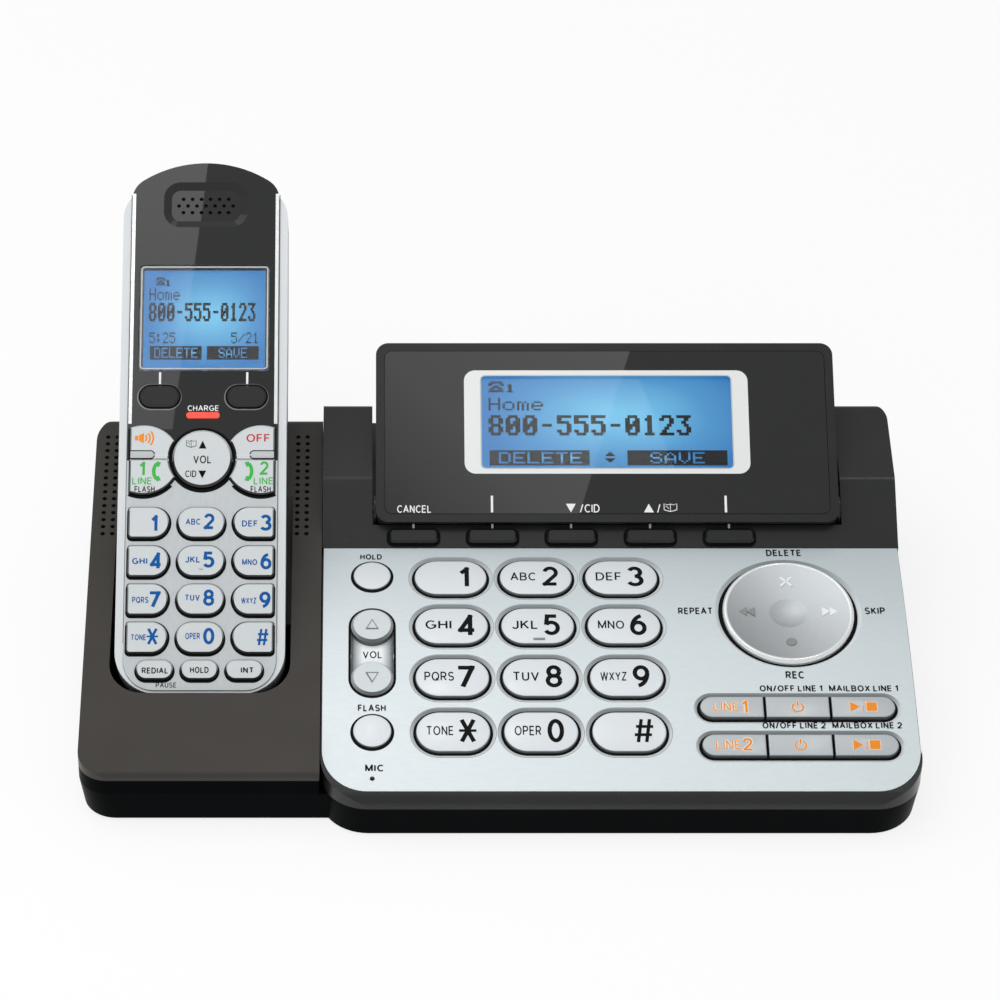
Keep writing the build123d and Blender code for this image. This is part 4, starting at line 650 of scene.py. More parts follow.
def line_numbers(points, faces):
    """For each point of a figure, the number of the line that it is on."""
    first = list(range(len(points)))
    for face in faces:
        low = min(first[i] for i in face)
        for i in face:
            first[i] = low
    order = {low: number for number, low in enumerate(sorted(set(first)))}
    return [order[low] for low in first]


def lay(bm, plane, figure, centre, size, lift, thick, bevel):
    """Lays one mark on a plane, flat or raised by a thickness."""
    points, faces = figure
    (sx, sy), (cx, cy) = (length / span for length, span in zip(size, spans(figure))), centre
    mx, my = ((max(line) + min(line)) / 2 for line in zip(*points))
    verts = []
    for (x, y), number in zip(points, line_numbers(points, faces)):
        step = 0 if thick else STROKE_STEP * (number % STROKE_LEVELS)
        verts += put(bm, plane, [(cx + (x - mx) * sx, cy + (y - my) * sy)], lift + step)
    made = []
    for face in faces:
        try:
            made.append(bm.faces.new([verts[i] for i in face]))
        except ValueError:  # two strokes share this face
            continue
    outward = plane.to_3x3() @ Vector((0, 0, 1))
    bm.normal_update()
    for face in made:
        if face.normal.dot(outward) < 0:
            face.normal_flip()
    if thick:
        grown = bmesh.ops.extrude_face_region(bm, geom=made)
        tops = [g for g in grown["geom"] if isinstance(g, bmesh.types.BMVert)]
        bmesh.ops.translate(bm, verts=tops, vec=outward * thick * MM)
        if bevel:
            edges = [e for e in bm.edges
                     if e.verts[0] in tops and e.verts[1] in tops and len(e.link_faces) == 2
                     and abs(e.link_faces[0].normal.dot(e.link_faces[1].normal)) < 0.5]
            bmesh.ops.bevel(bm, geom=edges, offset=bevel * MM, segments=2, affect="EDGES")


def write(name, body, finish, plane, marks, lift=None, thick=0.0, bevel=0.0):
    """Lays marks as one piece, at the height of print unless another lift is given.

    Each mark is (figure, centre, (width, height)), and can end with a plane of its own.
    """
    lift = ink_lift() if lift is None else lift
    bm = bmesh.new()
    for figure, centre, size, *own in marks:
        lay(bm, own[0] if own else plane, figure, centre, size, lift, thick, bevel)
    mesh = bpy.data.meshes.new(name)
    bm.to_mesh(mesh)
    bm.free()
    return new_piece(name, body, mesh, finish)


PIXELS = {
    "0": (62, 81, 73, 69, 62), "1": (0, 66, 127, 64, 0), "2": (66, 97, 81, 73, 70),
    "3": (33, 65, 69, 75, 49), "5": (39, 69, 69, 69, 57), "8": (54, 73, 73, 73, 54),
    "-": (0, 8, 8, 8, 0), "/": (32, 16, 8, 4, 2), ":": (0, 54, 54, 0, 0),
    "A": (124, 18, 17, 18, 124), "D": (127, 65, 65, 65, 62), "E": (127, 73, 73, 73, 65),
    "H": (127, 8, 8, 8, 127), "L": (127, 64, 64, 64, 64), "S": (38, 73, 73, 73, 50),
    "T": (1, 1, 127, 1, 1), "V": (31, 32, 64, 32, 31),
    "e": (56, 84, 84, 84, 24), "m": (124, 4, 120, 4, 120), "o": (56, 68, 68, 68, 56),
}
PHONE_ICON = ("..#########..", ".###########.", "####.....####", "###..###..###", "....#####....",
              "..#########..", ".####...####.", ".###########.", "#############")


def cells(rows, fill=0.94):
    """Squares for each marked cell of a picture given as rows of text, top row first."""
    e = (1 - fill) / 2
    return shape(*[[(i + e, -j + e), (i + 1 - e, -j + e), (i + 1 - e, -j + 1 - e), (i + e, -j + 1 - e)]
                   for j, row in enumerate(rows) for i, mark in enumerate(row) if mark == "#"])


def dot_matrix(text, fatten=False):
    """Text in a five by seven dot pattern; fatten doubles each upright."""
    rows = []
    for bit in range(7):
        row = ""
        for letter in text:
            columns = "".join("#" if column >> bit & 1 else "." for column in PIXELS[letter])
            if fatten:
                columns = "".join("#" if "#" in pair else "." for pair in zip(columns + ".", "." + columns))
            row += columns + "."
        rows.append(row)
    return cells(rows, 1.0) if fatten else cells(rows)


BOOK = merge(stroke([(0, 0.5), (0, 2.1), (0.75, 1.8), (1.5, 2.0), (2.25, 1.8), (3, 2.1), (3, 0.5)], 0.17),
             stroke([(0, 0.5), (0.75, 0.25), (1.5, 0.05), (2.25, 0.25), (3, 0.5)], 0.2),
             stroke([(1.5, 0.1), (1.5, 1.95)], 0.14), stroke([(0.35, 1.5), (0.9, 1.1), (1.15, 0.75)], 0.14))
SPEAKER_BOX = shape([(0, 0.55), (0.5, 0.55), (0.5, 1.45), (0, 1.45)],
                    [(0.6, 0.5), (1.35, 0), (1.35, 2), (0.6, 1.5)])
WAVES = merge(*[band(0, 0, r - 0.09, r + 0.09, -38, 38, 14) for r in (0.55, 0.9, 1.25)])
EARPIECE = merge(band(1.9, 0, 1.72, 2.08, 148, 212, 18), stroke([(0.2, 1.0), (0.62, 0.86)], 0.62),
                 stroke([(0.2, -1.0), (0.62, -0.86)], 0.62))


# ------------------------------------------------------------ settings
def tint(name, text, default):
    return FloatVectorProperty(name=name, description=text, subtype="COLOR", size=3, min=0, max=1,
                               default=colour(default)[:3])


class MachineSettings(bpy.types.PropertyGroup):
    """Sizes and colours to change before the pieces are built."""
    shell: tint("Shell", "Colour of the cradle plastic", "#34302c")
    console: tint("Console", "Colour of the console plastic", "#242624")
    lower: tint("Lower cover", "Colour of the lower cover", "#040607")
    plate: tint("Plates", "Colour of the silver plates", "#dbe3e6")
    key: tint("Keys", "Colour of the silver keys", "#d6dcdf")
    line_key: tint("Line keys", "Colour of the line keys and the disc", "#b3b9bc")
    disc: tint("Disc", "Colour of the four-way disc", "#c6cbce")
    gloss: tint("Gloss plastic", "Colour of the handset and display fronts", "#181919")
    screen: tint("Screen", "Colour of the lit screens at their middle", "#73cbf4")
    screen_edge: tint("Screen edge", "Colour of the lit screens at their edge", "#0078c0")
    # the dark print colour is also the colour of the painted shadows round the handset's keys
    dark_ink: tint("Dark print", "Colour of the print on silver", "#08090a")
    blue_ink: tint("Blue print", "Colour of the handset's digits", "#0d579c")
    orange_ink: tint("Orange print", "Colour of the line symbols", "#f0902a")
    key_round: FloatProperty(name="Key edge", description="Rounding at the top edge of the keys",
                             default=0.6 * MM, min=0.1 * MM, max=1.0 * MM, unit="LENGTH")
    print_lift: FloatProperty(name="Print lift", description="Height of the print over its surface",
                              default=0.03 * MM, min=0.01 * MM, max=0.1 * MM, unit="LENGTH", precision=5)
    soft_light: FloatProperty(name="Soft light", description="Power of the overhead lamp", default=3.6, min=0,
                              unit="POWER")


def settings():
    return bpy.context.scene.machine


MATERIALS = {}
RECIPES = {
    "charcoal": lambda s: moulded("charcoal_plastic", s.shell, 0.36, 0.12, specular=0.3),
    "console": lambda s: moulded("console_plastic", s.console, 0.24, 0.08, specular=0.3),
    "lower": lambda s: moulded("lower_plastic", s.lower, 0.4, 0.08, specular=0.02),
    "plate": lambda s: deck_plate("silver_plate", s.plate),
    # the second colour of each key recipe is painted shade for the key's walls
    "key": lambda s: key_plastic("light_key_plastic", s.key, "#4b5052", 0.36, 0.1),
    "line_key": lambda s: key_plastic("grey_key_plastic", s.line_key, "#45494b", 0.32, 0.25),
    "pad": lambda s: key_plastic("pad_plastic", "#c9d0d1", "#3f4345", 0.3, 0.15),
    "nav": lambda s: disc_metal("brushed_key_metal", s.disc),
    "saddle": lambda s: saddle_metal("saddle_metal", "#eef2f4"),
    "nav_rim": lambda s: brushed("polished_rim", "#f1f4f5", 0.16, 0.6, 0.02),
    "nav_mark": lambda s: brushed("raised_mark", "#eef2f3", 0.3, 0.1, 0.03),
    # painted shade: a darker copy of the raised marks, for the marks on the disc's shaded side
    "nav_mark_dark": lambda s: brushed("raised_mark_dark", "#868b89", 0.3, 0.1, 0.03),
    # painted sheen: grey gloss lines for light along the soft key bevels and the handset rails
    "edge_line": lambda s: moulded("gloss_edge", "#6d6e6b", 0.2, 0.0, coat=0.5),
    "dark_key": lambda s: moulded("dark_key_plastic", "#1a1b1b", 0.25, 0.05, specular=0.4),
    "rim": lambda s: moulded("display_plastic", "#1b1c1c", 0.25, 0.05, specular=0.4),
    "gloss": lambda s: glossy("gloss_plastic", s.gloss),
    "glass_print": lambda s: glossy("lens_print", s.gloss),
    "frame_print": lambda s: moulded("frame_print", "#dfe2e0", 0.4, 0.0, coat=0.5, shift=0.01),
    "trim": lambda s: brushed("silver_trim", "#d2d6d8", 0.42, 0.2, 0.0, (1, 0.2, 0.2)),
    "hs_plate": lambda s: brushed("handset_silver", "#bfc4c7", 0.36, 0.3, 0.03, (1, 0.4, 0.4)),
    "hs_key": lambda s: key_plastic("handset_key_plastic", "#c9ced0", "#101112", 0.34, 0.1),
    "grille_black": lambda s: moulded("grille_black", "#0b0b0c", 0.7, 0.0),
    "lamp": lambda s: glowing_lens("lamp_red", "#e5402c"),
    "lamp_grey": lambda s: moulded("lamp_grey", "#b9bcbf", 0.25, 0.0, coat=0.6),
    "clear": lambda s: clear_lens("clear_lens"),
    "screen": lambda s: lit_panel("screen_glass", s.screen, s.screen_edge),
    "board": lambda s: moulded("board_green", "#1f5a37", 0.4, 0.1, 900),
    "contact": lambda s: brushed("contact_metal", "#c9a55a", 0.25, 1.0, 0.05),
    "speaker": lambda s: moulded("speaker_body", "#26282a", 0.55, 0.2, 500),
    "socket": lambda s: moulded("socket_plastic", "#1a1b1c", 0.5, 0.1),
    "mat": lambda s: moulded("keymat_rubber", "#8f9496", 0.7, 0.1),
    "foot": lambda s: moulded("foot_rubber", "#17181a", 0.85, 0.3, 1800),
    "screw": lambda s: brushed("screw_steel", "#9aa0a4", 0.3, 1.0, 0.06),
    "cell": lambda s: moulded("cell_metal", "#4a6f94", 0.4, 0.05),
    # painted shade: the dark of the key gaps and of the painted shadows round the soft keys
    "gap": lambda s: moulded("key_gap", "#0c0d0e", 0.7, 0.0, specular=0.1),
}
# the first ink below colours the raised marks and is also a painted shade line along the outer edge of the
# dial key rims
FIXED_INKS = {"rim_line": "#8d9497", "pixel_ink": "#020405", "green_ink": "#43b54c", "red_ink": "#c4262e",
              "white_ink": "#eceded", "pale_ink": "#e9dfcf"}


def material(name):
    """The named material, made the first time it is asked for; one that has no recipe is an ink."""
    if name not in MATERIALS:
        s = settings()
        if name in RECIPES:
            MATERIALS[name] = RECIPES[name](s)
        else:
            MATERIALS[name] = printing_ink(name, FIXED_INKS[name] if name in FIXED_INKS else getattr(s, name))
    return MATERIALS[name]


# ------------------------------------------------------------ pieces
def key_solid(name, node, plane, outline, proud, low, edge, finish, flange=None):
    """A key in place of its CAD node: flange, rounded cap and stem."""
    flange = flange or (lambda inset: outline(inset - KEY_FLANGE))
    bm = bmesh.new()
    add_prism(bm, plane, flange, [(0, -KEY_WALL - KEY_FLANGE), (0, -KEY_WALL)])
    add_prism(bm, plane, outline, rim(-KEY_WALL, proud, edge, 5))
    add_prism(bm, plane, disc(STEM_RADIUS, count=24), [(0, -low), (0, -KEY_WALL)])
    piece = solid_piece(name, node, bm, finish)
    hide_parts(node)


STAR = merge(stroke([(0.3, 0), (1.7, 3)], 0.5), stroke([(1.7, 0), (0.3, 3)], 0.5),
             stroke([(0, 1.5), (2, 1.5)], 0.34))
# the dial keys in reading order: name, width of the digit, letters, width of the letters
DIAL = (("1", 2.9, "", 0), ("2", 4.6, "ABC", 7.0), ("3", 4.6, "DEF", 7.0), ("4", 4.7, "GHI", 7.2),
        ("5", 4.4, "JKL", 7.0), ("6", 4.6, "MNO", 7.3), ("7", 4.7, "PQRS", 8.1), ("8", 4.6, "TUV", 7.0),
        ("9", 4.6, "WXYZ", 7.2), ("star", 4.7, "TONE", 7.1), ("0", 4.5, "OPER", 7.2), ("hash", 5.1, "", 0))


def digit_shape(name, weight):
    if name == "star":
        return STAR
    return word("#", weight * 0.62) if name == "hash" else word(name, weight)


def build_housing():
    dress(bottom_cover="lower", console_cover="console", cradle_cover="charcoal", rubber_feet="foot",
          housing_screws="screw", deck_faceplate="plate", main_board="board", base_keymat="mat",
          jack_block="socket", speaker="speaker", cradle_contacts="contact", nav_pivot="socket",
          volume_rocker="pad")


def build_dial_keys():
    edge = settings().key_round / MM
    places = [(x, along) for along in DIAL_ROWS for x in DIAL_COLUMNS]
    for (name, width, letters, letters_width), (x, along) in zip(DIAL, places):
        node = f"key_{name}"
        key_solid(f"{node}_cap", node, deck(x, along), pill(*DIAL_SIZE), KEY_PROUD, KEY_STEM, edge, "key")
        top = deck(x, along, KEY_PROUD)
        marks = [(digit_shape(name, 0.2), (3.95, 0.3), (width, 7.5))]
        if letters:
            marks.append((word(letters, 0.165), (-3.6, 0.3), (letters_width, 3.1)))
        write(f"{node}_print", node, "dark_ink", top, marks)
        if name == "5":
            write("key_5_bar", node, "rim_line", top, [(SQUARE, (0.3, -4.85), (3.2, 0.7))], 0.0, 0.3, 0.12)


def build_key_gaps():
    """Painted shade in the gaps between the keys and the sloping rims of their holes, painted shadows beside
    the side keys, and a fine painted shade line at the outer edge of each dial key's rim.
    """
    bm = bmesh.new()
    key, print_lift = pill(*DIAL_SIZE), 0.03
    for along in DIAL_ROWS:
        for x in DIAL_COLUMNS:
            # painted shade: a dark sheet down in the gap, and a painted shade line round the rim's outer edge
            deck_ring(bm, x, along, key(-0.7), key(0.05), -0.56)
            deck_ring(bm, x, along, key(-1.66), key(-1.52), print_lift, 1)
    for along in (HOLD_ALONG, FLASH_ALONG):
        # painted shadow round the hold and flash keys, wider on their near side
        deck_ring(bm, SIDE_X, along, disc(5.98, 0, -0.3)(0), disc(5.2)(0), print_lift)
    slot = rounded(*VOLUME_SLOT, VOLUME_SLOT[0] / 2)
    # painted shadow round the volume slot, a little wider on its near side
    deck_ring(bm, SIDE_X, VOLUME_ALONG, [(x, y - 0.15) for x, y in slot(-0.7)], slot(-0.1), print_lift)
    pocket = pill(*LINE_POCKET)
    for along in LINE_ROWS:
        # painted shade: a dark sheet down in each line key pocket
        deck_ring(bm, LINE_MIDDLE, along, pocket(-0.4), pocket(0.6), -0.62)
    # painted shade: a dark sheet down in the gap round the disc
    deck_ring(bm, NAV_X, NAV_ALONG, disc(19.35, -0.15, -0.25)(0), disc(18.1)(0), -0.75)
    solid_piece("key_gaps", "base", bm, "gap", "rim_line")


def build_side_keys():
    edge = settings().key_round / MM
    for key, along in (("hold", HOLD_ALONG), ("flash", FLASH_ALONG)):
        key_solid(f"{key}_cap", f"{key}_key", deck(SIDE_X, along), disc(SIDE_RADIUS), KEY_PROUD, KEY_STEM,
                  edge, "key")
    top = deck(SIDE_X, VOLUME_ALONG, VOLUME_PROUD)
    for (points, _), y, way in ((TRI_UP, 9.3, "up"), (TRI_DOWN, -9.3, "down")):
        write(f"volume_mark_{way}", "volume_rocker", "rim_line", top,
              [(stroke(points + points[:2], 0.22), (0, y), (3.6, 3.6))], 0.0, 0.14)
    saddle = deck(SIDE_X, VOLUME_ALONG, VOLUME_SADDLE)
    bm = bmesh.new()
    add_prism(bm, saddle, rounded(11.5, 19.0, 0.5), [(0, 0), (0, SADDLE_SHEET)])
    solid_piece("volume_saddle", "volume_rocker", bm, "saddle")
    write("volume_print", "volume_rocker", "dark_ink", saddle, [(word("VOL", 0.17), (0, 0.3), (5.2, 2.5))],
          SADDLE_SHEET + ink_lift())


def line_marks(kind, row):
    """The symbols of a line key; each figure is a function of how far its lines are thickened."""
    if kind == "line":
        return [(lambda extra: word("LINE", 0.11 + extra, 0.2 - extra), (-1.7, 0), (6.7, 2.8)),
                (lambda extra: word(str(row), 0.16 + extra, 0), (3.5, 0.1), (1.7 if row == 1 else 2.6, 4.0))]
    if kind == "on_off":
        return [(power_mark, (0, 0), (3.4, 3.6))]
    return [(lambda extra: TRI_RIGHT, (-2.3, 0), (2.7, 3.2)),
            (lambda extra: stroke([(0, 0), (0.5, 1)], 0.12), (0, 0), (0.9, 3.3)),
            (lambda extra: SQUARE, (2.2, 0), (2.8, 2.8))]


def halo_mark(figure, centre, size):
    """The pale surround of a symbol: its lines thickened, or all of it enlarged where it has none."""
    plain, thick = figure(0), figure(0.17)
    if thick == plain:
        return thick, centre, [length + 0.4 for length in size]
    return thick, centre, [length * b / a for length, a, b in zip(size, spans(plain), spans(thick))]


def build_line_keys():
    w, h = LINE_SIZE
    for row, along in enumerate(LINE_ROWS, start=1):
        for side, kind in ((-1, "line"), (0, "on_off"), (1, "mailbox")):
            node = f"{kind}_key_{row}"
            x = LINE_MIDDLE + side * LINE_PITCH
            left, right = (h / 2 if side == end else LINE_CORNER for end in (-1, 1))
            ends = (left, right, right, left)
            flange = rounded(w + KEY_FLANGE * abs(side), h + 2 * KEY_FLANGE,
                             [r + KEY_FLANGE / 2 for r in ends], side * KEY_FLANGE / 2)
            key_solid(f"{node}_cap", node, deck(x, along), rounded(w, h, ends), LINE_PROUD, LINE_STEM,
                      LINE_EDGE, "line_key", flange)
            top = deck(x, along, LINE_PROUD)
            marks = line_marks(kind, row)
            write(f"{node}_halo", node, "pale_ink", top, [halo_mark(*mark) for mark in marks])
            write(f"{node}_print", node, "orange_ink", top, [(figure(0), *place) for figure, *place in marks],
                  ink_lift(2))


def build_nav_disc():
    plane = deck(NAV_X, NAV_ALONG)
    r, top, edge = NAV_RADIUS, NAV_PROUD, 0.8
    low = top - NAV_DISH
    turn = [math.radians(a) for a in range(90, -31, -15)]
    bead = [(r - edge + edge * math.sin(t), top - edge + edge * math.cos(t)) for t in turn]
    cup, depth = 5.2, 1.2  # radius and depth of the hollow in the middle
    ball = (cup ** 2 + depth ** 2) / (2 * depth)
    hollow = [(x, low + ball - depth - math.sqrt(ball ** 2 - x * x)) for x in (5.0, 4.2, 3.2, 2.0, 1.0, 0)]
    bm = bmesh.new()
    bore, roof, base = 3.4, -2.4, -4.0  # the pivot's bore below, and the underside
    lathe(bm, plane, [(0, roof), (bore, roof), (bore, base), (r, base), (r, top - edge)] + bead, material=1)
    x, z = bead[-1]
    lathe(bm, plane, [(x, z), (x - 0.5, z), (6.4, low + 0.05), (5.6, low), (cup, low - 0.02)] + hollow)
    piece = solid_piece("nav_disc_cap", "nav_disc", bm, "nav", "nav_rim", smooth=30)
    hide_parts("nav_disc")
    marks = [(CROSS, (0.1, 11.0), (3.6, 3.6)), (SKIP_BACK, (-11.6, 0), (4.5, 3.2)),
             (SKIP_ON, (11.6, 0), (4.5, 3.2)), (DOT, (0.1, -11.0), (2.9, 2.8))]
    write("nav_disc_marks", "nav_disc", "nav_mark", plane, marks[::2], 0.0, 0.5, 0.12)
    # painted shade: the left and near marks take the darker copy of their material
    write("nav_disc_marks_dark", "nav_disc", "nav_mark_dark", plane, marks[1::2], 0.0, 0.5, 0.12)


def build_deck_print():
    labels = (("HOLD", -34.8, 80.84, 6.1, 2.1), ("FLASH", -34.6, 26.76, 7.6, 2.3),
              ("MIC", -34.0, 7.5, 5.0, 2.2), ("DELETE", 81.35, 82.4, 9.7, 2.5),
              ("REPEAT", 55.2, 60.4, 9.4, 2.5), ("SKIP", 105.2, 60.4, 5.6, 2.5),
              ("REC", 81.3, 37.8, 5.0, 2.5), ("ON/OFF LINE 1", 80.0, 33.25, 17.2, 2.2),
              ("MAILBOX LINE 1", 99.8, 33.25, 19.0, 2.2), ("ON/OFF LINE 2", 80.0, 21.05, 17.2, 2.2),
              ("MAILBOX LINE 2", 99.8, 21.05, 19.0, 2.2))
    marks = [(word(text, 0.23), (0, 0), size, deck(x, along)) for text, x, along, *size in labels]
    write("deck_print", "base", "dark_ink", None, marks)


def build_ledge_keys():
    dress(**{f"soft_key_{number}": "dark_key" for number in range(1, 6)})
    bm = bmesh.new()
    key = rounded(*SOFT_KEY_SIZE, 1.4)
    for x in SOFT_COLUMNS:
        # painted shadow: a dark ring round each soft key, wider on its near side
        flat_ring(bm, ledge(x, SOFT_KEY_ALONG), [(px, py - 0.3) for px, py in key(-0.65)], key(-0.05), 0.02)
    solid_piece("soft_key_gaps", "base", bm, "gap")
    marks = [(SQUARE, (0, 0), (0.6, 1.7), ledge(x, 6.75)) for x in SOFT_COLUMNS]
    write("ledge_ticks", "base", "white_ink", None, marks)


def screen_cells(body, glass, dark, light):
    """The dark cells of a lit panel, and the lit words on its dark bars."""
    write(f"{body}_pixels", body, "pixel_ink", glass, dark, CELL_LIFT)
    write(f"{body}_pixels_lit", body, "screen", glass, light, 2 * CELL_LIFT)


def build_display():
    dress(display_housing="rim", display_lens="clear", display_screen="screen")
    face = display(DISPLAY_MIDDLE, DISPLAY_HEIGHT / 2)
    middle = (SCREEN_X - DISPLAY_MIDDLE, SCREEN_MID - DISPLAY_HEIGHT / 2)
    window = rounded(*WINDOW_SIZE, 1.2, *middle)
    bm = bmesh.new()
    flat_ring(bm, face, rounded(*LENS_SIZE, 2.0)(0), window(0), ink_lift())
    solid_piece("lens_mask", "display", bm, "glass_print")
    bm = bmesh.new()
    flat_ring(bm, face, rounded(*FRAME_SIZE, 3.2, *middle)(0), window(0), ink_lift(2))
    # painted shade: a grey line round the inside edge of the window, for the shaded inner edge of the frame
    flat_ring(bm, face, window(-0.35), window(0), ink_lift(3), 1)
    solid_piece("lens_frame", "display", bm, "frame_print", "lamp_grey")
    labels = [(word("CANCEL", 0.17), (-22.7, 3.9), (9.5, 2.4)), (SQUARE, (-0.66, 5.4), (0.65, 5.0)),
              (TRI_DOWN, (21.6, 4.2), (2.8, 2.6)), (word("/CID", 0.16), (26.9, 4.1), (5.6, 2.5)),
              (TRI_UP, (43.6, 4.2), (2.8, 2.6)), (word("/", 0.16), (46.4, 4.1), (0.95, 2.5)),
              (BOOK, (49.7, 4.3), (3.8, 2.5)), (SQUARE, (65.35, 5.4), (0.65, 5.0))]
    write("lens_print", "display", "white_ink", display(0, 0), labels, ink_lift(2))
    dark = [(cells(PHONE_ICON), (0.9, 41.5), (4.6, 3.4)), (dot_matrix("1", True), (4.9, 41.0), (1.9, 2.5)),
            (dot_matrix("Home"), (6.5, 36.2), (15.6, 3.9)),
            (dot_matrix("800-555-0123", True), (27.5, 29.7), (57.7, 6.2)),
            (SQUARE, (13.04, 19.8), (28.4, 4.6)), (SQUARE, (52.2, 19.8), (28.4, 4.6)),
            (TRI_UP, (33.1, 21.0), (3.2, 1.4)), (TRI_DOWN, (33.1, 19.0), (3.2, 1.4))]
    light = [(dot_matrix("DELETE"), (13.3, 19.8), (23.6, 3.4)),
             (dot_matrix("SAVE"), (52.2, 19.8), (15.4, 3.4))]
    screen_cells("display", display(0, 0, DISPLAY_GLASS), dark, light)


def build_handset_shell():
    dress(handset_back_cover="charcoal", handset_side_trim="trim", handset_front_cover="gloss",
          handset_keypad_face="hs_plate", handset_lens="clear", handset_screen="screen",
          handset_board="board", battery_pack="cell", battery_door="charcoal", handset_contacts="contact",
          charge_lamp="lamp", handset_soft_keys="dark_key")


# each column of the handset's keypad: centres of its digits, (x, width) of their letters, and the key below
PAD_PRINT = {
    "left": (((-12.9, 47.3), (-12.6, 36.4), (-12.35, 25.2), (-13.0, 14.5)),
             (None, (-16.86, 4.2), (-16.5, 4.5), (-16.8, 4.0)), ("REDIAL", (-12.2, 4.8), (7.1, 1.75))),
    "middle": (((2.1, 47.6), (2.25, 36.6), (2.35, 25.6), (2.5, 14.6)),
               ((-2.3, 4.0), (-2.3, 4.0), (-2.1, 4.0), (-1.95, 4.0)), ("HOLD", (0.05, 4.95), (5.1, 1.75))),
    "right": (((17.95, 47.3), (18.05, 36.1), (17.85, 25.0), (17.3, 14.3)),
              ((13.4, 4.2), (13.5, 4.2), (13.4, 4.2), None), ("INT", (13.1, 4.9), (3.4, 1.7))),
}


def build_handset_keys():
    dress(keypad_column_left="hs_key", keypad_column_middle="hs_key", keypad_column_right="hs_key",
          handset_nav_key="hs_key", speaker_line_key="hs_key", off_line_key="hs_key")
    top = handset(0, 0, PAD_FACE)
    for index, (column, (places, letters, (text, *place))) in enumerate(PAD_PRINT.items()):
        drop = 0 if column == "middle" else 0.25
        marks = []
        for row, (digit_x, digit_y) in enumerate(places):
            name, _, group, _ = DIAL[3 * row + index]
            marks.append((digit_shape(name, 0.225), (digit_x, digit_y), (1.9 if name == "1" else 3.1, 4.7)))
            if group:
                x, width = letters[row]
                marks.append((word(group, 0.21), (x, digit_y - drop), (width, 1.8)))
        node = f"keypad_column_{column}"
        write(f"column_{column}_digits", node, "blue_ink", top, marks)
        write(f"column_{column}_function", node, "dark_ink", top, [(word(text, 0.22), *place)])
    nib = [(DOT, (0, 0), (1.2, 0.5))]
    write("column_middle_nib", "keypad_column_middle", "hs_key", handset(0, 34.0, PAD_FACE), nib, 0, 0.3, 0.1)


def build_handset_rockers():
    top = handset(0, 0, PAD_FACE)
    sides = (("speaker_line", -1, "1", (-16.6, 63.2), (1.7, 4.0), (-12.7, 62.3), (-16.7, 59.5),
              (-15.9, 57.1)),
             ("off_line", 1, "2", (17.25, 63.2), (2.5, 4.1), (13.1, 62.3), (17.1, 59.5), (16.4, 57.1)))
    for key, side, number, number_at, size, earpiece_at, line_at, flash_at in sides:
        node = f"{key}_key"
        earpiece = EARPIECE if side < 0 else mirrored(EARPIECE)
        marks = [(word(number, 0.2), number_at, size), (earpiece, earpiece_at, (2.5, 5.9)),
                 (word("LINE", 0.16), line_at, (5.4, 2.2))]
        write(f"{node}_line", node, "green_ink", top, marks)
        write(f"{node}_flash", node, "dark_ink", top, [(word("FLASH", 0.19), flash_at, (5.6, 1.85))])
        ends = (0.2, 1.0, 1.0, 0.2) if side < 0 else (1.0, 0.2, 0.2, 1.0)
        pane = rounded(*LAMP_SIZE, ends, side * (SIDE_REACH - 0.15 - LAMP_SIZE[0] / 2), 67.2)
        bm = bmesh.new()
        add_prism(bm, top, pane, rim(-0.3, 0.12, 0.1, 2))
        add_prism(bm, top, lambda inset: pane(inset - 0.3), [(0, -0.3), (0, 0.02)], 1)
        solid_piece(f"{node}_lamp", node, bm, "lamp_grey", "dark_ink")
        write(f"{node}_crease", node, "trim", top, [(SQUARE, (side * 11.5, 67.1), (4.0, 0.3))])
    marks = [(SPEAKER_BOX, (-17.6, 72.1), (2.5, 3.0)), (WAVES, (-14.8, 72.1), (2.6, 4.3))]
    write("speaker_mark", "speaker_line_key", "orange_ink", top, marks)
    write("off_print", "off_line_key", "red_ink", top, [(word("OFF", 0.17), (15.5, 72.1), (6.4, 2.35))])
    marks = [(BOOK, (-3.1, 70.3), (2.9, 2.2)), (TRI_UP, (0.1, 70.1), (2.1, 2.35)),
             (word("VOL", 0.17), (0.0, 65.7), (4.9, 2.35)), (word("CID", 0.17), (-3.1, 61.5), (3.1, 1.95)),
             (TRI_DOWN, (0.1, 61.3), (2.2, 2.3))]
    write("handset_nav_print", "handset_nav_key", "dark_ink", handset(0, 0, NAV_FACE), marks)


def cap_outline(column, along):
    """Outline of a dial key's cap on the handset."""
    width, height = PAD_SIZE
    if column == 0:
        return pill(width, height, 0, along)
    wide, tall = SIDE_REACH - SIDE_INNER, height / 2
    radii = (tall, 1.0, 1.0, tall) if column > 0 else (1.0, tall, tall, 1.0)
    return rounded(wide, height, radii, column * (SIDE_INNER + SIDE_REACH) / 2, along)


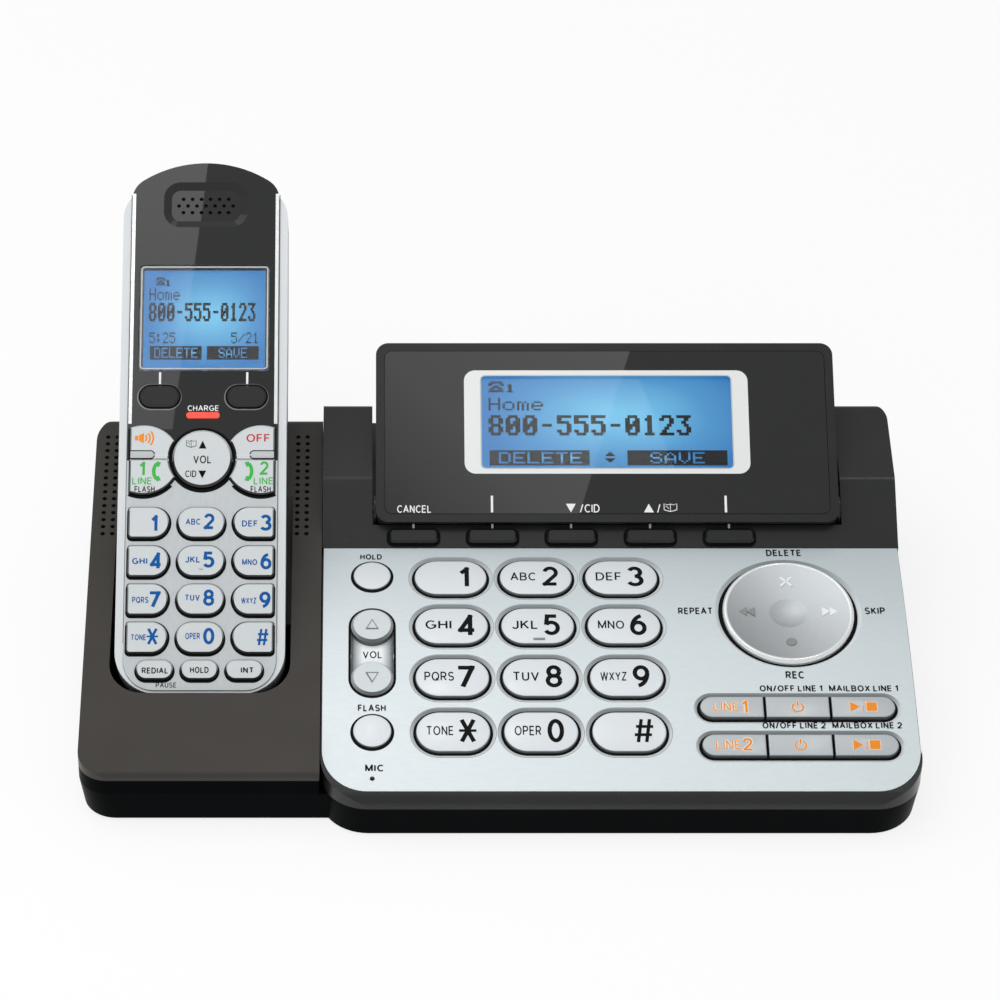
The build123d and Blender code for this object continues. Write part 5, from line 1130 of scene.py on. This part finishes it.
def build_keypad_shadows():
    """Painted shadows round the handset's keys, heavier on the side towards the toe."""
    face, lift = handset(0, 0), ink_lift()
    bm = bmesh.new()
    caps = [cap_outline(column, along) for column in (-1, 0, 1) for along in PAD_ROWS]
    caps += [pill(*FUNCTION_SIZE, column * FUNCTION_PITCH, FUNCTION_ALONG) for column in (-1, 0, 1)]
    for cap in caps:
        outer = [(max(-FACE_EDGE, min(FACE_EDGE, x)), y - 0.3) for x, y in cap(-0.45)]
        flat_ring(bm, face, outer, cap(-0.1), lift)
    solid_piece("keypad_shadows", "handset", bm, "dark_ink")
    bm = bmesh.new()
    # painted shadows round the middle key and beside the wing keys
    outer = disc(H_NAV_RADIUS + 1.15, 0, H_NAV_ALONG - 0.2)
    flat_ring(bm, face, outer(0), disc(H_NAV_RADIUS + 0.3, 0, H_NAV_ALONG)(0), lift)
    for side, span in ((1, (222, 293)), (-1, (247, 318))):
        inner, outer = ROCKER_RADIUS, ROCKER_RADIUS + 0.75
        points, squares = band(side * ROCKER_X, ROCKER_ALONG - 0.3, inner, outer, *span)
        verts = put(bm, face, points, lift)
        for square in squares:
            bm.faces.new([verts[i] for i in square])
    solid_piece("rocker_shadows", "handset", bm, "dark_ink")


def build_handset_print():
    face, lift = handset(0, 0), ink_lift()
    marks = [(word("CHARGE", 0.16), (0, 81.3), (8.6, 1.7)), (SQUARE, (-12.2, 89.9), (0.6, 4.2)),
             (SQUARE, (12.3, 89.9), (0.6, 4.2))]
    write("handset_print", "handset", "white_ink", face, marks)
    # painted highlight: raised strips of near-white polished metal stand for the bright line along each rail
    highlight_beads = [(SQUARE, (side * 20.4, 111.4), (0.95, 69.5)) for side in (-1, 1)]
    write("rail_beads", "handset", "nav_rim", face, highlight_beads, 0.0, 0.12, 0.05)
    # painted reflection: a grey line down each side of the trim
    lines = [(SQUARE, (side * 21.12, 79.5), (0.24, 133.0)) for side in (-1, 1)]
    write("rail_lines", "handset", "edge_line", handset(0, 0, -0.52), lines, 0.02)
    write("pause_print", "handset", "dark_ink", face, [(word("PAUSE", 0.17), (-9.1, 0.95), (5.6, 1.5))])
    bm = bmesh.new()
    flat_ring(bm, handset(0, WINDOW_ALONG), rounded(36.0, 31.0, 1.0)(0), rounded(35.3, 30.3, 0.75)(0),
              lift)
    solid_piece("window_line", "handset", bm, "lamp_grey")
    bm = bmesh.new()
    for x in (-SOFT_X, SOFT_X):
        key = pill(*SOFT_SIZE, x, SOFT_ALONG)
        # painted highlight round each soft key's bevel, a little lower on its near side, and painted shade in
        # the gap inside it
        flat_ring(bm, face, [(px - 0.1, py - 0.12) for px, py in key(-0.75)], key(-0.42), lift)
        flat_ring(bm, face, key(-0.5), key(-0.05), ink_lift(2), 1)
    solid_piece("soft_key_rings", "handset", bm, "edge_line", "gap")
    bm = bmesh.new()
    add_prism(bm, handset(0, EAR_ALONG, -1.99), rounded(21.0, 11.5, 2.0), [(0, 0), (0, 0.08)])
    solid_piece("earpiece_cloth", "handset", bm, "grille_black")
    dark = [(cells(PHONE_ICON), (-12.6, 120.0), (2.7, 2.5)),
            (dot_matrix("1", True), (-10.5, 119.5), (1.2, 1.9)),
            (dot_matrix("Home"), (-11.4, 116.1), (8.6, 3.6)),
            (dot_matrix("800-555-0123", True), (-0.7, 110.7), (30.2, 5.6)),
            (dot_matrix("5:25"), (-11.9, 102.9), (7.3, 3.3)), (dot_matrix("5/21"), (11.3, 102.9), (7.5, 3.3)),
            (SQUARE, (-8.0, 98.4), (14.6, 4.1)), (SQUARE, (8.1, 98.4), (14.6, 4.1))]
    light = [(dot_matrix("DELETE"), (-8.0, 98.4), (12.2, 3.1)), (dot_matrix("SAVE"), (8.1, 98.4), (8.0, 3.1))]
    screen_cells("handset", handset(0, 0, HANDSET_GLASS), dark, light)


# ------------------------------------------------------------ stage
EYE = Vector((-0.0351, FRONT * MM - 0.7389, 0.73945))
LENS, LENS_TILT = 138.7, 50  # focal length in millimetres, and degrees up from straight down
GLOW_HEIGHT = 0.7  # of the panels that glossy faces mirror
FLOOR_REACH, FLOOR_SHADE, FLOOR_GLOW = 4, 0.93, 0.82


def bounced(plane, x, y):
    """Where the sight line to a point of a glossy plane ends up overhead, after its reflection."""
    point = plane @ Vector((x * MM, y * MM, 0))
    normal = (plane.to_3x3() @ Vector((0, 0, 1))).normalized()
    sight = (point - EYE).normalized()
    away = sight - 2 * sight.dot(normal) * normal
    return point + away * ((GLOW_HEIGHT - point.z) / away.z)


def glow_panel(name, outline, strength, levels=(1, 1, 1, 1)):
    """A panel overhead that only reflections can see; levels is the share of its strength at each corner."""
    mesh = bpy.data.meshes.new(name)
    mesh.from_pydata([tuple(point) for point in outline], [], [tuple(range(len(outline)))])
    shares = mesh.color_attributes.new("share", "FLOAT_COLOR", "POINT")
    for item, level in zip(shares.data, levels):
        item.color = (level, level, level, 1)
    panel = bpy.data.objects.new(name, mesh)
    bpy.context.scene.collection.objects.link(panel)
    n = Nodes(name)
    share = n.add("Attribute", attribute_name="share").outputs["Color"]
    n.surface(n.add("Emission", {"Color": share, "Strength": strength}))
    mesh.materials.append(n.material)
    panel.visible_camera = panel.visible_diffuse = panel.visible_shadow = panel.visible_transmission = False


def soft_lamp(name, place, size, power):
    """A lamp aimed at the machine, which reflections don't show."""
    light = bpy.data.lights.new(name, "AREA")
    light.shape = "RECTANGLE"
    light.size, light.size_y = size
    light.energy = power
    lamp = bpy.data.objects.new(name, light)
    lamp.location = place
    lamp.visible_glossy = False
    lamp.rotation_euler = (Vector((0, 0, 0.02)) - Vector(place)).to_track_quat("-Z", "Y").to_euler()
    bpy.context.scene.collection.objects.link(lamp)


def build_floor():
    """A white floor that looks lit by itself to the camera and in reflections."""
    mesh = bpy.data.meshes.new("floor")
    places = [(x * FLOOR_REACH, y * FLOOR_REACH, 0) for x, y in ((-1, -1), (1, -1), (1, 1), (-1, 1))]
    mesh.from_pydata(places, [], [(0, 1, 2, 3)])
    floor = bpy.data.objects.new("floor", mesh)
    bpy.context.scene.collection.objects.link(floor)
    n = Nodes("floor_white")
    n.set(Base_Color=(FLOOR_SHADE,) * 3 + (1,), Roughness=0.6, Specular_IOR_Level=0.2)
    path = n.add("LightPath").outputs
    mirrors = n.math("MAXIMUM", path["Is Glossy Ray"], path["Is Transmission Ray"])
    seen = n.math("MAXIMUM", path["Is Camera Ray"], mirrors)
    white = n.add("Emission", {"Strength": 1.0}).outputs[0]
    n.surface(n.add("MixShader", {0: n.math("MULTIPLY", seen, FLOOR_GLOW), 1: n.shader.outputs[0], 2: white}))
    mesh.materials.append(n.material)


def build_glows():
    """Panels that put the sheen on the handset, the display, the deck and the crease of the ledge."""
    spots = ((-32, 175), (2.6, 175), (-8.5, 75), (-32, 75))
    glow_panel("handset_glow", [bounced(handset(0, 0), *spot) for spot in spots], 2.8, (1, 1, 0.7, 0.7))
    spots = ((-44, 64), (43.0, 64), (22.0, -4), (-44, -4))
    glow_panel("display_glow", [bounced(display(0, 0), *spot) for spot in spots], 2.3, (0.75, 1.0, 0.8, 0.15))
    glow_panel("deck_glow", [(-0.55, 0.1, 0.6), (0.12, 0.1, 0.6), (0.12, 0.45, 0.6), (-0.55, 0.45, 0.6)], 1.2)
    crest = ledge(0, CREASE).translation / MM
    before, behind = (slope_plane(0, crest.y - FRONT, crest.z - FOOT, slope) for slope in (16.5, 21.0))
    for name, left, right in (("crease_glow_left", -50, -36), ("crease_glow_right", 99, 114)):
        spots = ((before, left), (before, right), (behind, right), (behind, left))
        glow_panel(name, [bounced(face, x, 0) for face, x in spots], 14.0)


def build_stage():
    build_floor()
    scene = bpy.context.scene
    world = bpy.data.worlds.new("studio")
    world.use_nodes = True
    background = world.node_tree.nodes["Background"].inputs
    background["Color"].default_value = (1, 1, 1, 1)
    background["Strength"].default_value = 0.6
    scene.world = world

    power = settings().soft_light
    soft_lamp("overhead", (-0.25, -0.1, 0.9), (0.9, 0.7), power)
    soft_lamp("front_fill", (-0.1, -1.0, 0.45), (0.8, 0.4), power * 0.35)
    soft_lamp("left_strip", (-0.8, 0.0, 0.4), (0.25, 0.9), power * 0.3)
    build_glows()

    camera = bpy.data.cameras.new("camera")
    camera.lens, camera.sensor_width, camera.shift_x = LENS, 36, 0.13
    holder = bpy.data.objects.new("camera", camera)
    holder.location = EYE
    holder.rotation_euler = (math.radians(LENS_TILT), 0, 0)
    scene.collection.objects.link(holder)
    scene.camera = holder
    scene.view_settings.view_transform = "Standard"


# ------------------------------------------------------------ operators and panel
class BuildStep:
    """What the building operators share."""
    bl_options = {"REGISTER", "UNDO"}
    steps = ()

    def execute(self, context):
        for step in self.steps:
            step()
        return {"FINISHED"}


class MACHINE_OT_housing(BuildStep, bpy.types.Operator):
    """Finish the cradle, console, lower cover, deck plate and the parts inside them"""
    bl_idname = "machine.housing"
    bl_label = "Housing"
    steps = (build_housing, build_deck_print)


class MACHINE_OT_dial_keys(BuildStep, bpy.types.Operator):
    """Build the twelve dial keys of the console with their print"""
    bl_idname = "machine.dial_keys"
    bl_label = "Dial keys"
    steps = (build_dial_keys,)


class MACHINE_OT_side_keys(BuildStep, bpy.types.Operator):
    """Build the hold and flash keys and mark the volume rocker"""
    bl_idname = "machine.side_keys"
    bl_label = "Hold, flash and volume keys"
    steps = (build_side_keys, build_key_gaps)


class MACHINE_OT_line_keys(BuildStep, bpy.types.Operator):
    """Build the two rows of line keys with their symbols"""
    bl_idname = "machine.line_keys"
    bl_label = "Line keys"
    steps = (build_line_keys,)


class MACHINE_OT_nav_disc(BuildStep, bpy.types.Operator):
    """Build the round playback disc with its raised symbols"""
    bl_idname = "machine.nav_disc"
    bl_label = "Playback disc"
    steps = (build_nav_disc,)


class MACHINE_OT_display(BuildStep, bpy.types.Operator):
    """Finish the tilting display, its lens and lit screen, and the soft keys below it"""
    bl_idname = "machine.display"
    bl_label = "Display"
    steps = (build_display, build_ledge_keys)


class MACHINE_OT_handset(BuildStep, bpy.types.Operator):
    """Finish the handset's shells, trim, window and lit screen"""
    bl_idname = "machine.handset"
    bl_label = "Handset"
    steps = (build_handset_shell, build_handset_print, build_keypad_shadows)


class MACHINE_OT_handset_keys(BuildStep, bpy.types.Operator):
    """Finish the handset's dial keys, rockers and middle key with their print"""
    bl_idname = "machine.handset_keys"
    bl_label = "Handset keys"
    steps = (build_handset_keys, build_handset_rockers)


class MACHINE_OT_stage(BuildStep, bpy.types.Operator):
    """Set out the floor, lamps and camera"""
    bl_idname = "machine.stage"
    bl_label = "Stage"
    steps = (build_stage,)


OPERATORS = (MACHINE_OT_housing, MACHINE_OT_dial_keys, MACHINE_OT_side_keys, MACHINE_OT_line_keys,
             MACHINE_OT_nav_disc, MACHINE_OT_display, MACHINE_OT_handset, MACHINE_OT_handset_keys,
             MACHINE_OT_stage)


class MACHINE_PT_build(bpy.types.Panel):
    """Settings and building steps of the answering machine"""
    bl_idname = "MACHINE_PT_build"
    bl_label = "Answering machine"
    bl_space_type = "VIEW_3D"
    bl_region_type = "UI"
    bl_category = "Answering machine"

    def draw(self, context):
        for name in MachineSettings.__annotations__:
            self.layout.prop(context.scene.machine, name)
        for operator in OPERATORS:
            self.layout.operator(operator.bl_idname)


def register():
    for cls in (MachineSettings, *OPERATORS, MACHINE_PT_build):
        bpy.utils.register_class(cls)
    bpy.types.Scene.machine = PointerProperty(type=MachineSettings)


def unregister():
    del bpy.types.Scene.machine
    for cls in reversed((MachineSettings, *OPERATORS, MACHINE_PT_build)):
        bpy.utils.unregister_class(cls)


def main():
    register()
    for operator in OPERATORS:
        group, name = operator.bl_idname.split(".")
        getattr(getattr(bpy.ops, group), name)()


if __name__ == "__main__":
    main()
